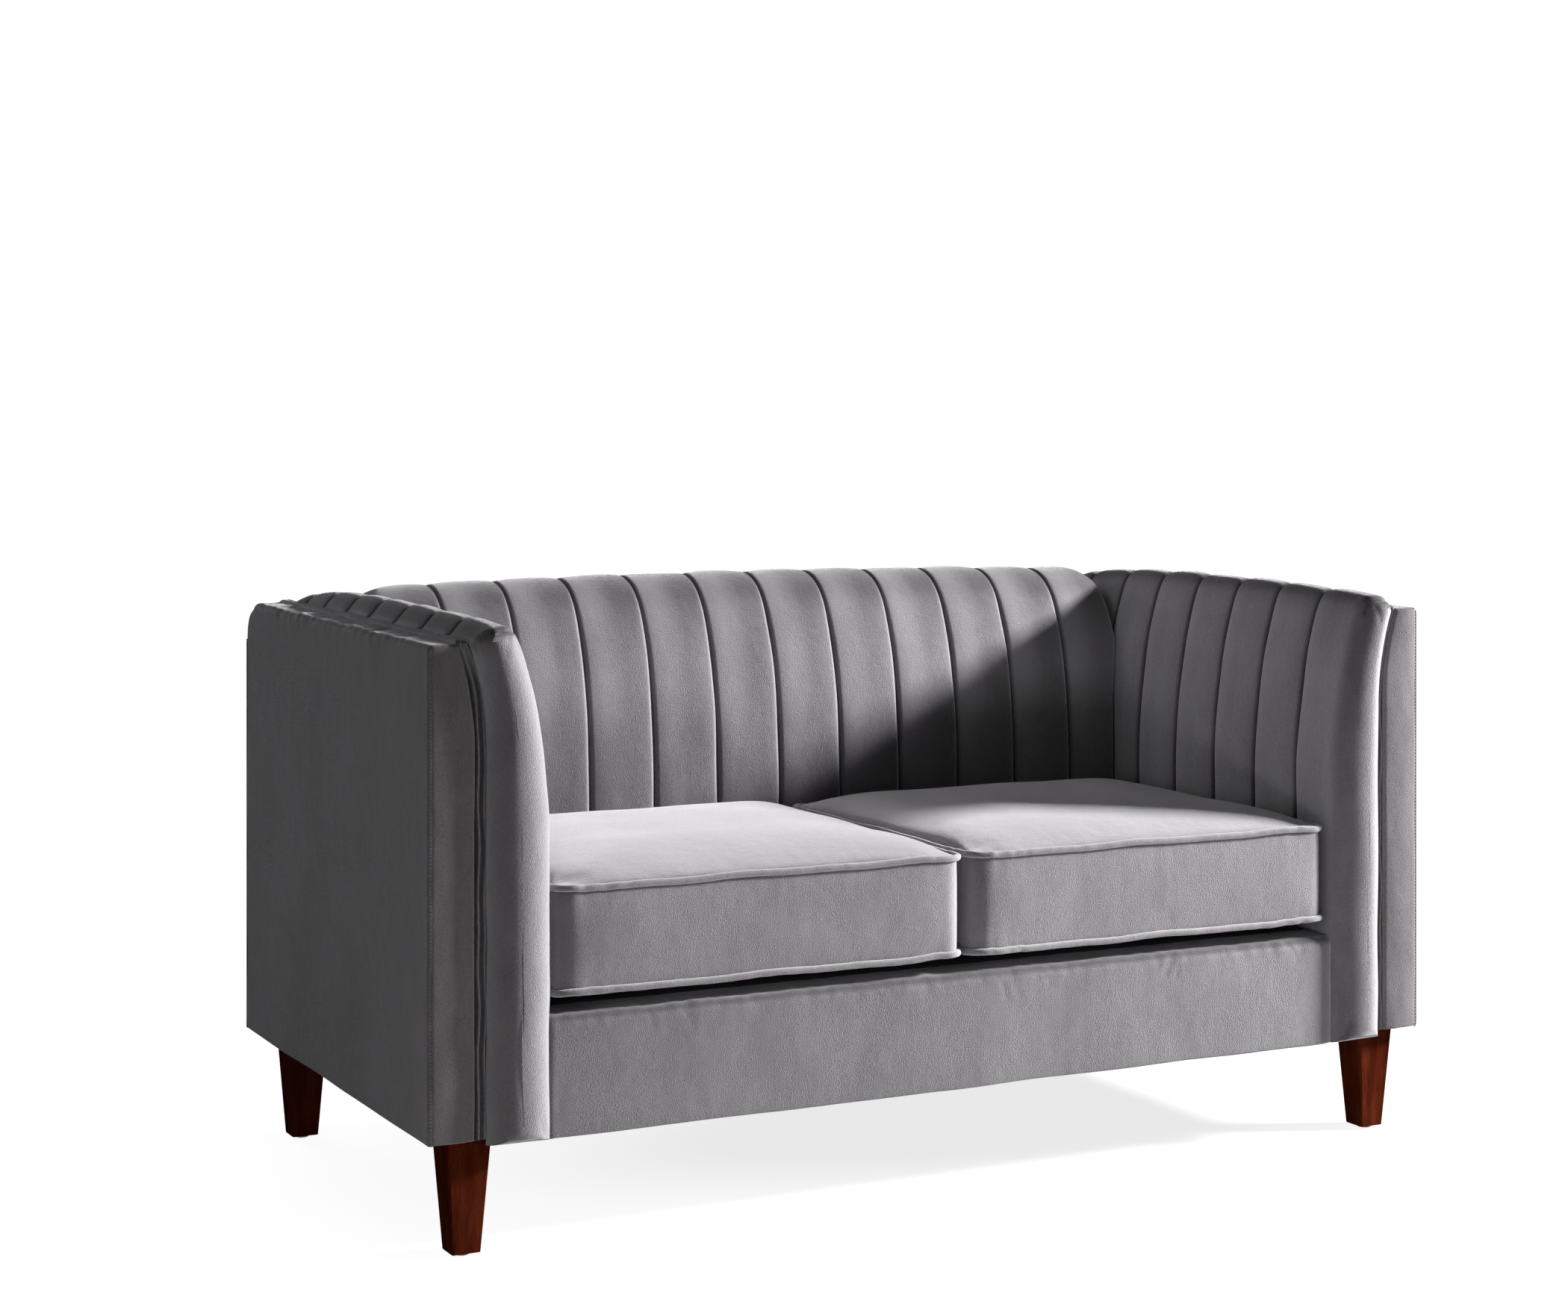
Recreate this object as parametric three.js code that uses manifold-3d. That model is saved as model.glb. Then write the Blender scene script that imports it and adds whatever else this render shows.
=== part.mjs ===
// A two-seat sofa with a channelled back and arms, two loose boxed cushions and four tapered legs.
// Lengths are in millimetres, +Z is up and the front faces -Y.
// The origin is on the floor, under the middle of the sofa.
import * as THREE from "three";
import { mergeVertices } from "three/addons/utils/BufferGeometryUtils.js";
import Module from "manifold-3d";

const wasm = await Module();
wasm.setup();

// Overall sizes
const overallWidth = 1500; // over the outsides of the arms
const bodyDepth = 760; // from the arm fronts to the outside back
const undersideHeight = 147; // floor to the bottom of the arms
const armFrontHeight = 748; // floor to the arm top at the front
const armRise = 9; // climb of the arm top from front to rear
const backHeight = 788; // floor to the crest of the back
const armPadHeight = 771; // floor to the crest of the arm pad at the front
const deckHeight = 289; // floor to the cloth that the cushions lie on

// Clearances
const fitGap = 0.3; // between pieces that are fixed to each other
const cushionGap = 6; // between the loose cushions, and beside them
const clearance = 1.5; // between soft pieces that lean on each other

// Covers
const coverThickness = 8; // board with its padding and cloth
const clothThickness = 2.7; // cloth stretched over nothing
const cordRadius = 4; // welt and piping

// Arms
const facingWidth = 60; // flat front of the arm's outer slab, low down
const boxingWidth = 38; // flat top of the arm's outer slab
const armPadThickness = 79;
const slabBendDrop = 128; // arm top down to where the welt starts to lean outwards
const armRearRadius = 50; // rounding of the arm's top rear corner
const armRearDrop = 17; // straight end of the boxing under that rounding
const padFrontBulge = 24; // how far the pads stand in front of the slabs
const padSkirtDroop = 8; // how far the pad's front hangs below the arm
const innerBoardThickness = 6;

// Channels, sewn into the pads
const seamDepth = 6;
const armChannelPitch = 100;
const armFirstSeam = 86; // behind the arm front
const backChannelPitch = 102;

// Back
const backDepth = 219; // pad face to the outside back, at the seat
const backPadFoot = 68; // thickness of the back pad at the seat
const backCrest = 48; // crest of the back above its top rail
const backArch = 6; // drop of the crest at its ends
const backEndLean = 18; // how far the crest leans out over the arm's inner face
const backPostTop = 50; // depth of a back post at its top
const backPostCut = 50; // height of the square top of a back post

// Frame timbers
const postWidth = 45;
const seatRailThickness = 25;
const bearerThickness = 28;

// Front cover of the seat frame
const apronDroop = 9; // how far it hangs below the arms
const apronBulge = 3;
const apronRollDepth = 60;
const apronRollRadius = 14;

// Springs and their clips
const springPitch = 150; // across the seat
const springEdge = 40; // least room between a side rail and a spring
const springSpace = 46; // top of the seat rails to the deck cover
const springBarPitch = 37; // between the bars of a spring, before they are spread evenly
const wireRadius = 1.9;
const springWidth = 50;
const clipSheet = 1.5;
const clipWidth = 22;
const clipMouth = 6;
const clipLip = 9;
const clipRoom = 2.4; // between a clip strip and the roll above it

// Legs
const legTop = 57;
const legBottom = 37;
const legBevel = 2;
const legInset = 60; // arm side to the middle of a leg
const legFrontInset = 46.5;
const legRearInset = 74;
const studRadius = 4;
const studLength = 22;
const studClearance = 1.2;
const plateSide = 50;
const plateThickness = 3;
const glideRadius = 11;
const glideHeight = 4;

// Loose cushions
const cushionOverhang = 8; // in front of the arm fronts
const cushionBelly = 26; // deck to the lower piping
const cushionBorder = 128; // lower piping to upper piping
const cushionCrown = 27; // upper piping to the middle of the top
const cushionCorner = 42;
const cushionDrawIn = 3; // how far the sides pull in between the corners
const borderSwell = 3;
const sliderWidth = 10;
const sliderHeight = 9;
const sliderThickness = 4;
const tabLength = 28;
const tabThickness = 1.5;
const zipInset = 62.5; // end of the zip to the cushion's side

// Sizes that follow from those above
const armOuter = overallWidth / 2;
const weltWidth = 4 * cordRadius;
const weltSlot = weltWidth + 2 * fitGap;
const padOuter = armOuter - facingWidth - weltSlot;
const armInner = padOuter - armPadThickness;
const slabBendHeight = armFrontHeight - slabBendDrop;
const topLean = facingWidth - boxingWidth;
const seatHalf = armInner - fitGap / 2;
const armTimberInner = armInner + fitGap / 2;
const timberFront = coverThickness + fitGap;
const timberRear = bodyDepth - coverThickness - fitGap;
const timberOuter = armOuter - coverThickness - fitGap;
const postInner = padOuter + topLean + clearance;
const rearPostFront = timberRear - postWidth;
const frameBottom = undersideHeight + plateThickness + fitGap;
const bearerTop = frameBottom + bearerThickness;
const armRearHeight = armFrontHeight + armRise;
const armTimberRearTop = armRearHeight - coverThickness - fitGap;
const facingTop = armFrontHeight - coverThickness - fitGap;
const skirtBottom = undersideHeight - padSkirtDroop;
const deckBottom = deckHeight - clothThickness;
const seatRailTop = deckBottom - springSpace;
const railInner = seatHalf - seatRailThickness;
const backFace = bodyDepth - backDepth;
const seatRear = backFace + backPadFoot + fitGap;
const backPadBottom = deckHeight + fitGap;
const backRailTop = backHeight - backCrest;
const backPostFront = seatRear + fitGap;
const backPostTopFront = timberRear - backPostTop;
const backPostHeight = backRailTop - backPostCut;
const cushionRear = backFace - 2 * cushionGap;
const cushionWidth = seatHalf - cushionGap - cushionGap / 2;
const cushionLowerSeam = deckHeight + cushionBelly;
const cushionUpperSeam = cushionLowerSeam + cushionBorder;
const zipLength = cushionWidth - 2 * zipInset;
const legHeight = undersideHeight - glideHeight - 2 * fitGap;
const clipHeight = clipMouth + 2 * clipSheet;
const apronRollFoot = seatRailTop + fitGap + clipHeight + clipRoom;
const weltCenter = padOuter + weltSlot / 2;

// How many seams and springs those sizes give
const armSeams = Math.floor((timberRear - clearance - armFirstSeam) / armChannelPitch);
const backSeams = 2 * Math.floor(armInner / backChannelPitch) + 1;
const springReach = railInner - springEdge - springWidth / 2;
const springCount = 2 * Math.floor(springReach / springPitch) + 1;

// Finishes
const velvet = new THREE.MeshStandardMaterial({ color: 0x716c72, roughness: 0.9, metalness: 0 });
const timber = new THREE.MeshStandardMaterial({ color: 0xc7a678, roughness: 0.7, metalness: 0 });
const legWood = new THREE.MeshStandardMaterial({ color: 0x5a1f14, roughness: 0.35, metalness: 0 });
const steel = new THREE.MeshStandardMaterial({ color: 0x9a9da1, roughness: 0.4, metalness: 1 });
const liningCloth = new THREE.MeshStandardMaterial({ color: 0x1d1d1f, roughness: 1, metalness: 0 });
const nylon = new THREE.MeshStandardMaterial({ color: 0x2b2b2d, roughness: 0.5, metalness: 0 });

// Helpers for numbers
const mix = (a, b, t) => a + (b - a) * t;
const within = (value, low, high) => Math.min(high, Math.max(low, value));
const steps = (count) => Array.from({ length: count }, (_, k) => k);

// Reads a value off a table of [position, value] pairs in rising order.
function lookUp(table, position) {
  const next = table.findIndex(([at]) => at >= position);
  if (next === 0) return table[0][1];
  if (next < 0) return table[table.length - 1][1];
  const [fromAt, from] = table[next - 1];
  const [toAt, to] = table[next];
  return mix(from, to, (position - fromAt) / (toAt - fromAt));
}

// Makes a geometry of points and triangles, turned so that its faces point out.
function skinOf(points, triangles) {
  const volume = triangles.reduce((sum, [a, b, c]) => {
    const cross = new THREE.Vector3().crossVectors(points[b], points[c]);
    return sum + points[a].dot(cross);
  }, 0);
  const faces = volume < 0 ? triangles.map(([a, b, c]) => [a, c, b]) : triangles;
  const geometry = new THREE.BufferGeometry().setFromPoints(points);
  geometry.setIndex(faces.flat());
  geometry.computeVertexNormals();
  return geometry;
}

// Triangles that close a ring of points. flat gives a point's two coordinates on the closing face.
function capOf(ring, flat, first, alongRing) {
  const outline = ring.map((p) => new THREE.Vector2(...flat(p)));
  const area = THREE.ShapeUtils.area(outline);
  return THREE.ShapeUtils.triangulateShape(outline, []).map(([a, b, c]) => {
    const turn = THREE.ShapeUtils.area([outline[a], outline[b], outline[c]]);
    const keeps = turn * area > 0 === alongRing;
    return keeps ? [a + first, b + first, c + first] : [a + first, c + first, b + first];
  });
}

// A closed solid through rings with the same number of points, capped at both ends.
function loft(rings, flat) {
  const count = rings[0].length;
  const sides = steps(rings.length - 1).flatMap((r) =>
    steps(count).flatMap((k) => {
      const a = r * count + k;
      const b = r * count + ((k + 1) % count);
      return [
        [a, b, a + count],
        [b, b + count, a + count],
      ];
    }),
  );
  const last = rings.length - 1;
  const caps = [
    ...capOf(rings[0], flat, 0, false),
    ...capOf(rings[last], flat, last * count, true),
  ];
  return skinOf(rings.flat(), [...sides, ...caps]);
}

// Which way each drawing plane lies: its two axes, and the axis that an outline is extruded along.
const planes = {
  xy: [new THREE.Vector3(1, 0, 0), new THREE.Vector3(0, 1, 0), new THREE.Vector3(0, 0, 1)],
  xz: [new THREE.Vector3(1, 0, 0), new THREE.Vector3(0, 0, 1), new THREE.Vector3(0, -1, 0)],
  yz: [new THREE.Vector3(0, 1, 0), new THREE.Vector3(0, 0, 1), new THREE.Vector3(1, 0, 0)],
};

// Extrudes an outline, drawn in one of those planes, between two places on the third axis.
function slab(outline, plane, low, high, holes = []) {
  const shape = new THREE.Shape(outline.map(([u, v]) => new THREE.Vector2(u, v)));
  shape.holes = holes;
  const options = { depth: high - low, bevelEnabled: false, curveSegments: 6 };
  const geometry = new THREE.ExtrudeGeometry(shape, options);
  const [u, v, w] = planes[plane];
  const start = w.clone().multiplyScalar(plane === "xz" ? -high : low);
  return geometry.applyMatrix4(new THREE.Matrix4().makeBasis(u, v, w).setPosition(start));
}

// A round hole for an extruded outline.
function roundHole(u, v, radius) {
  const hole = new THREE.Path();
  hole.absarc(u, v, radius, 0, 2 * Math.PI, true);
  return hole;
}

// A mesh with its name and finish.
function piece(name, geometry, finish) {
  const mesh = new THREE.Mesh(geometry, finish);
  mesh.name = name;
  return mesh;
}

// A rectangular timber between two corners.
function timberPiece(name, low, high, finish = timber) {
  const size = high.map((value, axis) => value - low[axis]);
  const mesh = piece(name, new THREE.BoxGeometry(...size), finish);
  mesh.position.set(...low.map((value, axis) => value + size[axis] / 2));
  return mesh;
}

// A geometry as a solid for cutting and joining.
function solidOf(geometry) {
  const bare = geometry.clone();
  bare.deleteAttribute("normal");
  bare.deleteAttribute("uv");
  const merged = mergeVertices(bare);
  return new wasm.Manifold(
    new wasm.Mesh({
      numProp: 3,
      vertProperties: merged.attributes.position.array,
      triVerts: new Uint32Array(merged.index.array),
    }),
  );
}

// A solid back as a geometry.
function geometryOf(solid) {
  const mesh = solid.getMesh();
  const geometry = new THREE.BufferGeometry();
  geometry.setAttribute("position", new THREE.BufferAttribute(mesh.vertProperties, 3));
  geometry.setIndex(new THREE.BufferAttribute(mesh.triVerts, 1));
  geometry.computeVertexNormals();
  return geometry;
}

// A box with corners at two points, as a cutter.
function cutter(low, high) {
  const box = timberPiece("", low, high);
  box.updateMatrix();
  return solidOf(box.geometry.applyMatrix4(box.matrix));
}

// Height of the arm top at a depth.
const armTop = (y) => armFrontHeight + armRise * within(y / (bodyDepth - armRearRadius), 0, 1);

// The welt leans outwards near the top of the arm. This is that lean at a height.
function weltLean(z) {
  const climb = within((z - slabBendHeight) / (armFrontHeight - slabBendHeight), 0, 1);
  return topLean * climb * climb;
}

// Heights at which the lean is followed, from the bend up to the facing's top.
const leanShares = [0, 0.35, 0.7, 1];
const leanHeights = leanShares.map((up) => mix(slabBendHeight, facingTop, up));

// Side view of the arm, drawn in from its outer skin: sloping top, rounded rear corner, foot.
function armSideOutline(inset, foot) {
  const radius = armRearRadius - inset;
  const centre = [bodyDepth - armRearRadius, armRearHeight - armRearRadius];
  const corner = steps(6).map((k) => {
    const angle = (Math.PI / 2) * (1 - k / 5);
    return [centre[0] + radius * Math.cos(angle), centre[1] + radius * Math.sin(angle)];
  });
  return [
    [inset, foot],
    [inset, armFrontHeight - inset],
    ...corner,
    [bodyDepth - inset, foot],
  ];
}

// Height of the arm's skin at a depth, drawn in by an inset.
const armSkin = (y, inset) => lookUp(armSideOutline(inset, 0).slice(1, -1), y);

// The pad's inner face and crest: shares of its thickness from the seat side, and of its height.
const padFaceShares = [
  [0, 0],
  [0, 0.28],
  [0, 0.6],
  [0.045, 0.69],
  [0.125, 0.77],
  [0.235, 0.848],
  [0.36, 0.908],
  [0.51, 0.962],
  [0.66, 0.99],
  [0.86, 1],
  [1.06, 0.992],
  [1.2, 0.974],
];
// How far the pad's front end is drawn in, at shares of the way back to its full section.
const frontRoundShares = [0, 0.08, 0.3, 0.62];
const frontDrawShare = 0.6;
// Where a channel is measured, and how sharply it falls away to its seams.
const channelShares = [0, 0.06, 0.28, 0.72, 0.94];
const channelFullness = 4;

// Depth of a channelled surface below its crest, at a share of the way across the channel.
const channelDepth = (across) => seamDepth * Math.abs(2 * across - 1) ** channelFullness;

const armPadRise = armPadHeight - skirtBottom;

// The pad's face up to its crest, as [height, place] pairs.
const armFaceTable = padFaceShares
  .slice(0, 10)
  .map(([across, up]) => [skirtBottom + up * armPadRise, armInner + across * armPadThickness]);

// How far the pad's climb to the rear lifts a point at a share of its height.
const padLift = (y, up) => (armTop(y) - armFrontHeight) * up ** channelFullness;

// One section of the arm pad at a depth. seam is how deep the cloth is drawn in there, and draw
// how far the whole section shrinks towards its core.
function armPadSection(y, seam, draw) {
  const face = padFaceShares.map(([across, up]) => {
    const z = skirtBottom + up * armPadRise;
    return [Math.min(armInner + across * armPadThickness, padOuter + weltLean(z)), z];
  });
  const edge = face[face.length - 1][1];
  const heights = [armFrontHeight, ...[...leanHeights].reverse()].filter((z) => z < edge);
  const outer = heights.map((z) => [padOuter + weltLean(z), z]);
  const outline = [...face, ...outer, [padOuter, skirtBottom]];
  const core = armPadThickness / 2;
  return outline.map(([x, z], k) => {
    const [beforeX, beforeZ] = outline[Math.max(k - 1, 0)];
    const [afterX, afterZ] = outline[k + 1] ?? outline[k];
    const normal = new THREE.Vector2(beforeZ - afterZ, afterX - beforeX).normalize();
    const sunk = k > 0 && k < face.length ? seam : 0;
    const middle = (lookUp(armFaceTable, z) + padOuter + weltLean(z)) / 2;
    const level = within(z, skirtBottom + core, armPadHeight - core);
    const lift = padLift(y, (z - skirtBottom) / armPadRise);
    return new THREE.Vector3(
      mix(x - sunk * normal.x, middle, draw),
      y,
      mix(z - sunk * normal.y, level, draw) + lift,
    );
  });
}

// The arm pad: its front end is rounded, and it runs back in channels behind the back pad.
function armPad() {
  const rounded = frontRoundShares.map((back) => {
    const y = mix(-padFrontBulge, coverThickness, back);
    return armPadSection(y, 0, frontDrawShare * (1 - Math.sqrt(1 - (1 - back) ** 2)));
  });
  const channels = steps(armSeams + 1).flatMap((channel) => {
    const start = armFirstSeam + (channel - 1) * armChannelPitch;
    return channelShares
      .map((across) => [start + across * armChannelPitch, channelDepth(across)])
      .filter(([y]) => y > coverThickness);
  });
  const front = armPadSection(coverThickness, 0, 0);
  const rear = armPadSection(timberRear - clearance, seamDepth, 0);
  const rings = [
    ...rounded,
    front,
    ...channels.map(([y, depth]) => armPadSection(y, y < armFirstSeam / 2 ? 0 : depth, 0)),
    rear,
  ];
  const whole = solidOf(loft(rings, (p) => [p.x, p.z]));
  const underSeat = cutter(
    [armInner - armPadThickness, coverThickness, 0],
    [armOuter, bodyDepth, deckHeight + fitGap],
  );
  const overRearPost = cutter(
    [armInner - armPadThickness, rearPostFront - fitGap, 0],
    [armOuter, bodyDepth, armTimberRearTop + fitGap],
  );
  return geometryOf(whole.subtract(underSeat).subtract(overRearPost));
}

// Two cords side by side: points around the pair, in cord radii.
const weltSectionShares = [
  [1, -1],
  [1.9, -0.5],
  [1.9, 0.5],
  [1, 1],
  [0, 0.5],
  [-1, 1],
  [-1.9, 0.5],
  [-1.9, -0.5],
  [-1, -1],
  [0, -0.5],
];
const weltTurn = 6; // radius of the welt's bend from the front to the top

// The double welt runs up the front, along the top and over the rear corner of the arm.
function armWelt() {
  const top = weltCenter + topLean;
  const station = (x, y, z, angle) =>
    weltSectionShares.map(([across, out]) => {
      const reach = out * cordRadius;
      return new THREE.Vector3(
        x + across * cordRadius,
        y - reach * Math.cos(angle),
        z + reach * Math.sin(angle),
      );
    });
  const front = [undersideHeight, ...leanHeights].map((z) =>
    station(weltCenter + weltLean(z), 0, z, 0),
  );
  const bend = steps(4).map((k) => {
    const angle = (Math.PI / 2) * (k / 3);
    const y = weltTurn * (1 - Math.cos(angle));
    const z = armFrontHeight - weltTurn * (1 - Math.sin(angle));
    return station(top, y, z, angle);
  });
  const rearAngle = (k) => (Math.PI / 2) * (1 + k / 5);
  const corner = steps(6).map((k) => {
    const angle = rearAngle(k);
    const y = bodyDepth - armRearRadius - armRearRadius * Math.cos(angle);
    const z = armRearHeight - armRearRadius + armRearRadius * Math.sin(angle);
    return station(top, y, z, angle);
  });
  const foot = armRearHeight - armRearRadius - armRearDrop;
  const end = station(top, bodyDepth, foot, Math.PI);
  return loft([...front, ...bend, ...corner, end], (p) => [p.x, p.y]);
}

// The flat front of the arm's slab. Its inner edge follows the welt.
function armFacing() {
  const outline = [
    [padOuter + weltSlot, undersideHeight],
    ...leanHeights.map((z) => [padOuter + weltSlot + weltLean(z), z]),
    [armOuter, facingTop],
    [armOuter, undersideHeight],
  ];
  return slab(outline, "xz", 0, coverThickness);
}

// The strip along the top of the arm's slab, which ends a little way down the rear.
function armBoxing() {
  const foot = armRearHeight - armRearRadius - armRearDrop;
  const [, ...outer] = armSideOutline(0, foot);
  const [, ...inner] = armSideOutline(coverThickness, foot);
  const front = [0, armFrontHeight - coverThickness];
  const outline = [...outer, ...inner.slice(1).reverse(), front];
  return slab(outline, "yz", armOuter - boxingWidth, armOuter);
}

// The arm's inner timbers, legs apart: posts, rails and the board behind the pad.
function armFrame(side) {
  const skin = coverThickness + fitGap;
  const rearTop = armSideOutline(skin, bearerTop + fitGap)
    .slice(2)
    .filter(([y]) => y > rearPostFront);
  const rearPost = [
    [rearPostFront, bearerTop + fitGap],
    [rearPostFront, armSkin(rearPostFront, skin)],
    ...rearTop,
  ];
  const frontTop = armTop(timberFront) - skin;
  const railFront = timberFront + postWidth + fitGap;
  const railRear = rearPostFront - fitGap;
  const slopeEnd = Math.min(railRear, bodyDepth - armRearRadius);
  const railTop = [railFront, slopeEnd, railRear].map((y) => [y, armSkin(y, skin)]);
  const topRail = [
    [railFront, frontTop - postWidth],
    ...railTop.filter(([y], k) => k === 0 || y > railTop[k - 1][0]),
    [railRear, frontTop - postWidth],
  ];
  const footprint = [
    [armTimberInner, timberFront],
    [timberOuter, timberFront],
    [timberOuter, timberRear],
    [armTimberInner, timberRear],
  ];
  const studHoles = legPlaces.map((y) =>
    roundHole(armOuter - legInset, y, studRadius + studClearance),
  );
  return [
    timberPiece(
      `${side}_arm_front_post`,
      [postInner, timberFront, bearerTop + fitGap],
      [timberOuter, timberFront + postWidth, frontTop],
    ),
    piece(`${side}_arm_rear_post`, slab(rearPost, "yz", armTimberInner, timberOuter), timber),
    piece(`${side}_arm_top_rail`, slab(topRail, "yz", postInner, timberOuter), timber),
    piece(
      `${side}_arm_bearer`,
      slab(footprint, "xy", frameBottom, bearerTop, studHoles),
      timber,
    ),
    timberPiece(
      `${side}_arm_inner_board`,
      [padOuter + fitGap, timberFront, bearerTop + fitGap],
      [padOuter + fitGap + innerBoardThickness, railRear, slabBendHeight],
    ),
  ];
}

const legPlaces = [legFrontInset, bodyDepth - legRearInset];

// A tapered square leg with bevelled edges, and the stud that screws it to the arm.
function leg() {
  const ring = (width, z) => {
    const half = width / 2;
    const flat = half - legBevel;
    return [
      [half, -flat],
      [half, flat],
      [flat, half],
      [-flat, half],
      [-half, flat],
      [-half, -flat],
      [-flat, -half],
      [flat, -half],
    ].map(([x, y]) => new THREE.Vector3(x, y, z));
  };
  const taper = loft([ring(legBottom, 0), ring(legTop, legHeight)], (p) => [p.x, p.y]);
  const profile = [
    [0, legHeight / 2],
    [studRadius, legHeight / 2],
    [studRadius, legHeight + studLength],
    [0, legHeight + studLength],
  ];
  const stud = new THREE.LatheGeometry(
    profile.map(([r, z]) => new THREE.Vector2(r, z)),
    8,
  ).rotateX(Math.PI / 2);
  return geometryOf(solidOf(taper).add(solidOf(stud)));
}

// The plate that spreads the load of the leg's stud.
function legPlate() {
  const half = plateSide / 2;
  const outline = [
    [-half, -half],
    [half, -half],
    [half, half],
    [-half, half],
  ];
  const hole = roundHole(0, 0, studRadius + studClearance);
  return slab(outline, "xy", 0, plateThickness, [hole]);
}

// The plastic foot under a leg.
function glide() {
  const edge = glideRadius - legBevel;
  const profile = [
    [0, 0],
    [edge, 0],
    [glideRadius, legBevel],
    [glideRadius, glideHeight],
    [0, glideHeight],
  ];
  const points = profile.map(([r, z]) => new THREE.Vector2(r, z));
  return new THREE.LatheGeometry(points, 12).rotateX(Math.PI / 2);
}

// A leg with its plate and glide, standing at one corner.
function legGroup(side, end, y) {
  const group = new THREE.Group();
  const foot = piece(`${side}_${end}_leg`, leg(), legWood);
  foot.position.z = glideHeight + fitGap;
  const plate = piece(`${side}_${end}_leg_plate`, legPlate(), steel);
  plate.position.z = undersideHeight;
  group.add(foot, plate, piece(`${side}_${end}_glide`, glide(), nylon));
  group.position.set(armOuter - legInset, y, 0);
  return group;
}

// A whole arm on the right of the sofa. The left one is its mirror image.
function arm(side) {
  const group = new THREE.Group();
  const outside = armSideOutline(coverThickness + fitGap, undersideHeight);
  group.add(
    piece(
      `${side}_arm_outside_panel`,
      slab(outside, "yz", armOuter - coverThickness, armOuter),
      velvet,
    ),
    piece(`${side}_arm_front_facing`, armFacing(), velvet),
    piece(`${side}_arm_top_boxing`, armBoxing(), velvet),
    piece(`${side}_arm_inner_pad`, armPad(), velvet),
    piece(`${side}_arm_welt`, armWelt(), velvet),
    ...armFrame(side),
    legGroup(side, "front", legPlaces[0]),
    legGroup(side, "rear", legPlaces[1]),
  );
  return group;
}

// The back pad's face, crest and roll over the rear: shares of its depth, and of its height.
const backFaceShares = [
  [0, 0],
  [-0.01, 0.22],
  [-0.01, 0.42],
  [0.01, 0.56],
  [0.045, 0.67],
  [0.098, 0.772],
  [0.17, 0.852],
  [0.255, 0.918],
  [0.35, 0.962],
  [0.45, 0.988],
  [0.56, 1],
  [0.68, 0.997],
  [0.8, 0.983],
  [0.91, 0.962],
  [0.985, 0.936],
];

// One section of the back pad. seam is how deep the cloth is drawn in there.
function backPadSection(x, seam) {
  const depth = timberRear - backFace;
  const height = backHeight - backPadBottom;
  const face = backFaceShares.map(([back, up]) => [
    backFace + back * depth,
    backPadBottom + up * height,
  ]);
  const underside = backRailTop + fitGap;
  const outline = [
    ...face,
    [timberRear, underside],
    [backPostTopFront - fitGap, underside],
    [backPostTopFront - fitGap, backPostHeight],
    [backPostFront - fitGap, backPadBottom],
  ];
  const drop = backArch * (x / seatHalf) ** 2;
  return outline.map(([y, z], k) => {
    const [beforeY, beforeZ] = outline[Math.max(k - 1, 0)];
    const [afterY, afterZ] = outline[k + 1] ?? outline[k];
    const normal = new THREE.Vector2(beforeZ - afterZ, afterY - beforeY).normalize();
    const isFace = k > 0 && k < face.length;
    const sunk = isFace ? seam : 0;
    const up = isFace ? (z - backPadBottom) / height : 0;
    const level = z - sunk * normal.y - drop * up ** channelFullness;
    const isOverRail = isFace && y > backPostTopFront;
    return new THREE.Vector3(
      x,
      y - sunk * normal.x,
      isOverRail ? Math.max(level, underside + clothThickness) : level,
    );
  });
}

// The space that an arm takes from the back pad: its pad, with a clearance, and its rear post.
function armSpace() {
  const reach = armInner + backEndLean;
  const above = Math.max(backHeight, armPadHeight + armRise) + armRise;
  const face = armFaceTable.map(([z, x]) => {
    const lift = padLift(bodyDepth, (z - skirtBottom) / armPadRise);
    return [Math.min(x, reach) - clearance, z + lift];
  });
  const outline = [
    [armOuter, 0],
    [armInner - clearance, 0],
    ...face,
    [reach - clearance, above],
    [armOuter, above],
  ];
  const overPost = cutter(
    [seatHalf, rearPostFront - fitGap, 0],
    [armOuter, bodyDepth, armTimberRearTop + fitGap],
  );
  return solidOf(slab(outline, "xz", 0, bodyDepth)).add(overPost);
}

// How far the last channels fall away at the ends of the back: shares of their width and depth.
const backEndShares = [
  [0, 1.3],
  [0.08, 0.6],
  [0.25, 0.15],
  [0.6, 0],
];

// The back pad: equal channels between seams, with the last ones cut to lean on the arm pads.
function backPad() {
  const firstSeam = (-backChannelPitch * (backSeams - 1)) / 2;
  const reach = armInner + backEndLean;
  const left = backEndShares.map(([across, deep]) => [
    mix(-reach, firstSeam, across),
    deep * seamDepth,
  ]);
  const beforeSeam = channelShares[channelShares.length - 1];
  left.push([mix(-reach, firstSeam, beforeSeam), channelDepth(beforeSeam)]);
  const inner = steps(backSeams - 1).flatMap((channel) =>
    channelShares.map((across) => [
      firstSeam + (channel + across) * backChannelPitch,
      channelDepth(across),
    ]),
  );
  const right = [...left].reverse().map(([x, depth]) => [-x, depth]);
  const rings = [...left, ...inner, [-firstSeam, seamDepth], ...right];
  const sections = rings.map(([x, depth]) => backPadSection(x, depth));
  const whole = solidOf(loft(sections, (p) => [p.y, p.z]));
  const space = armSpace();
  return geometryOf(whole.subtract(space).subtract(space.mirror([1, 0, 0])));
}

// The outside back: one panel over the back and the rear ends of both arms.
function outsideBack() {
  const step = armRearHeight - armRearRadius - armRearDrop - fitGap;
  const top = backRailTop + coverThickness;
  const stepReach = padOuter + topLean;
  const outline = [
    [-armOuter, undersideHeight],
    [armOuter, undersideHeight],
    [armOuter, step],
    [stepReach, step],
    [stepReach, top],
    [-stepReach, top],
    [-stepReach, step],
    [-armOuter, step],
  ];
  return slab(outline, "xz", bodyDepth - coverThickness, bodyDepth);
}

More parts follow.
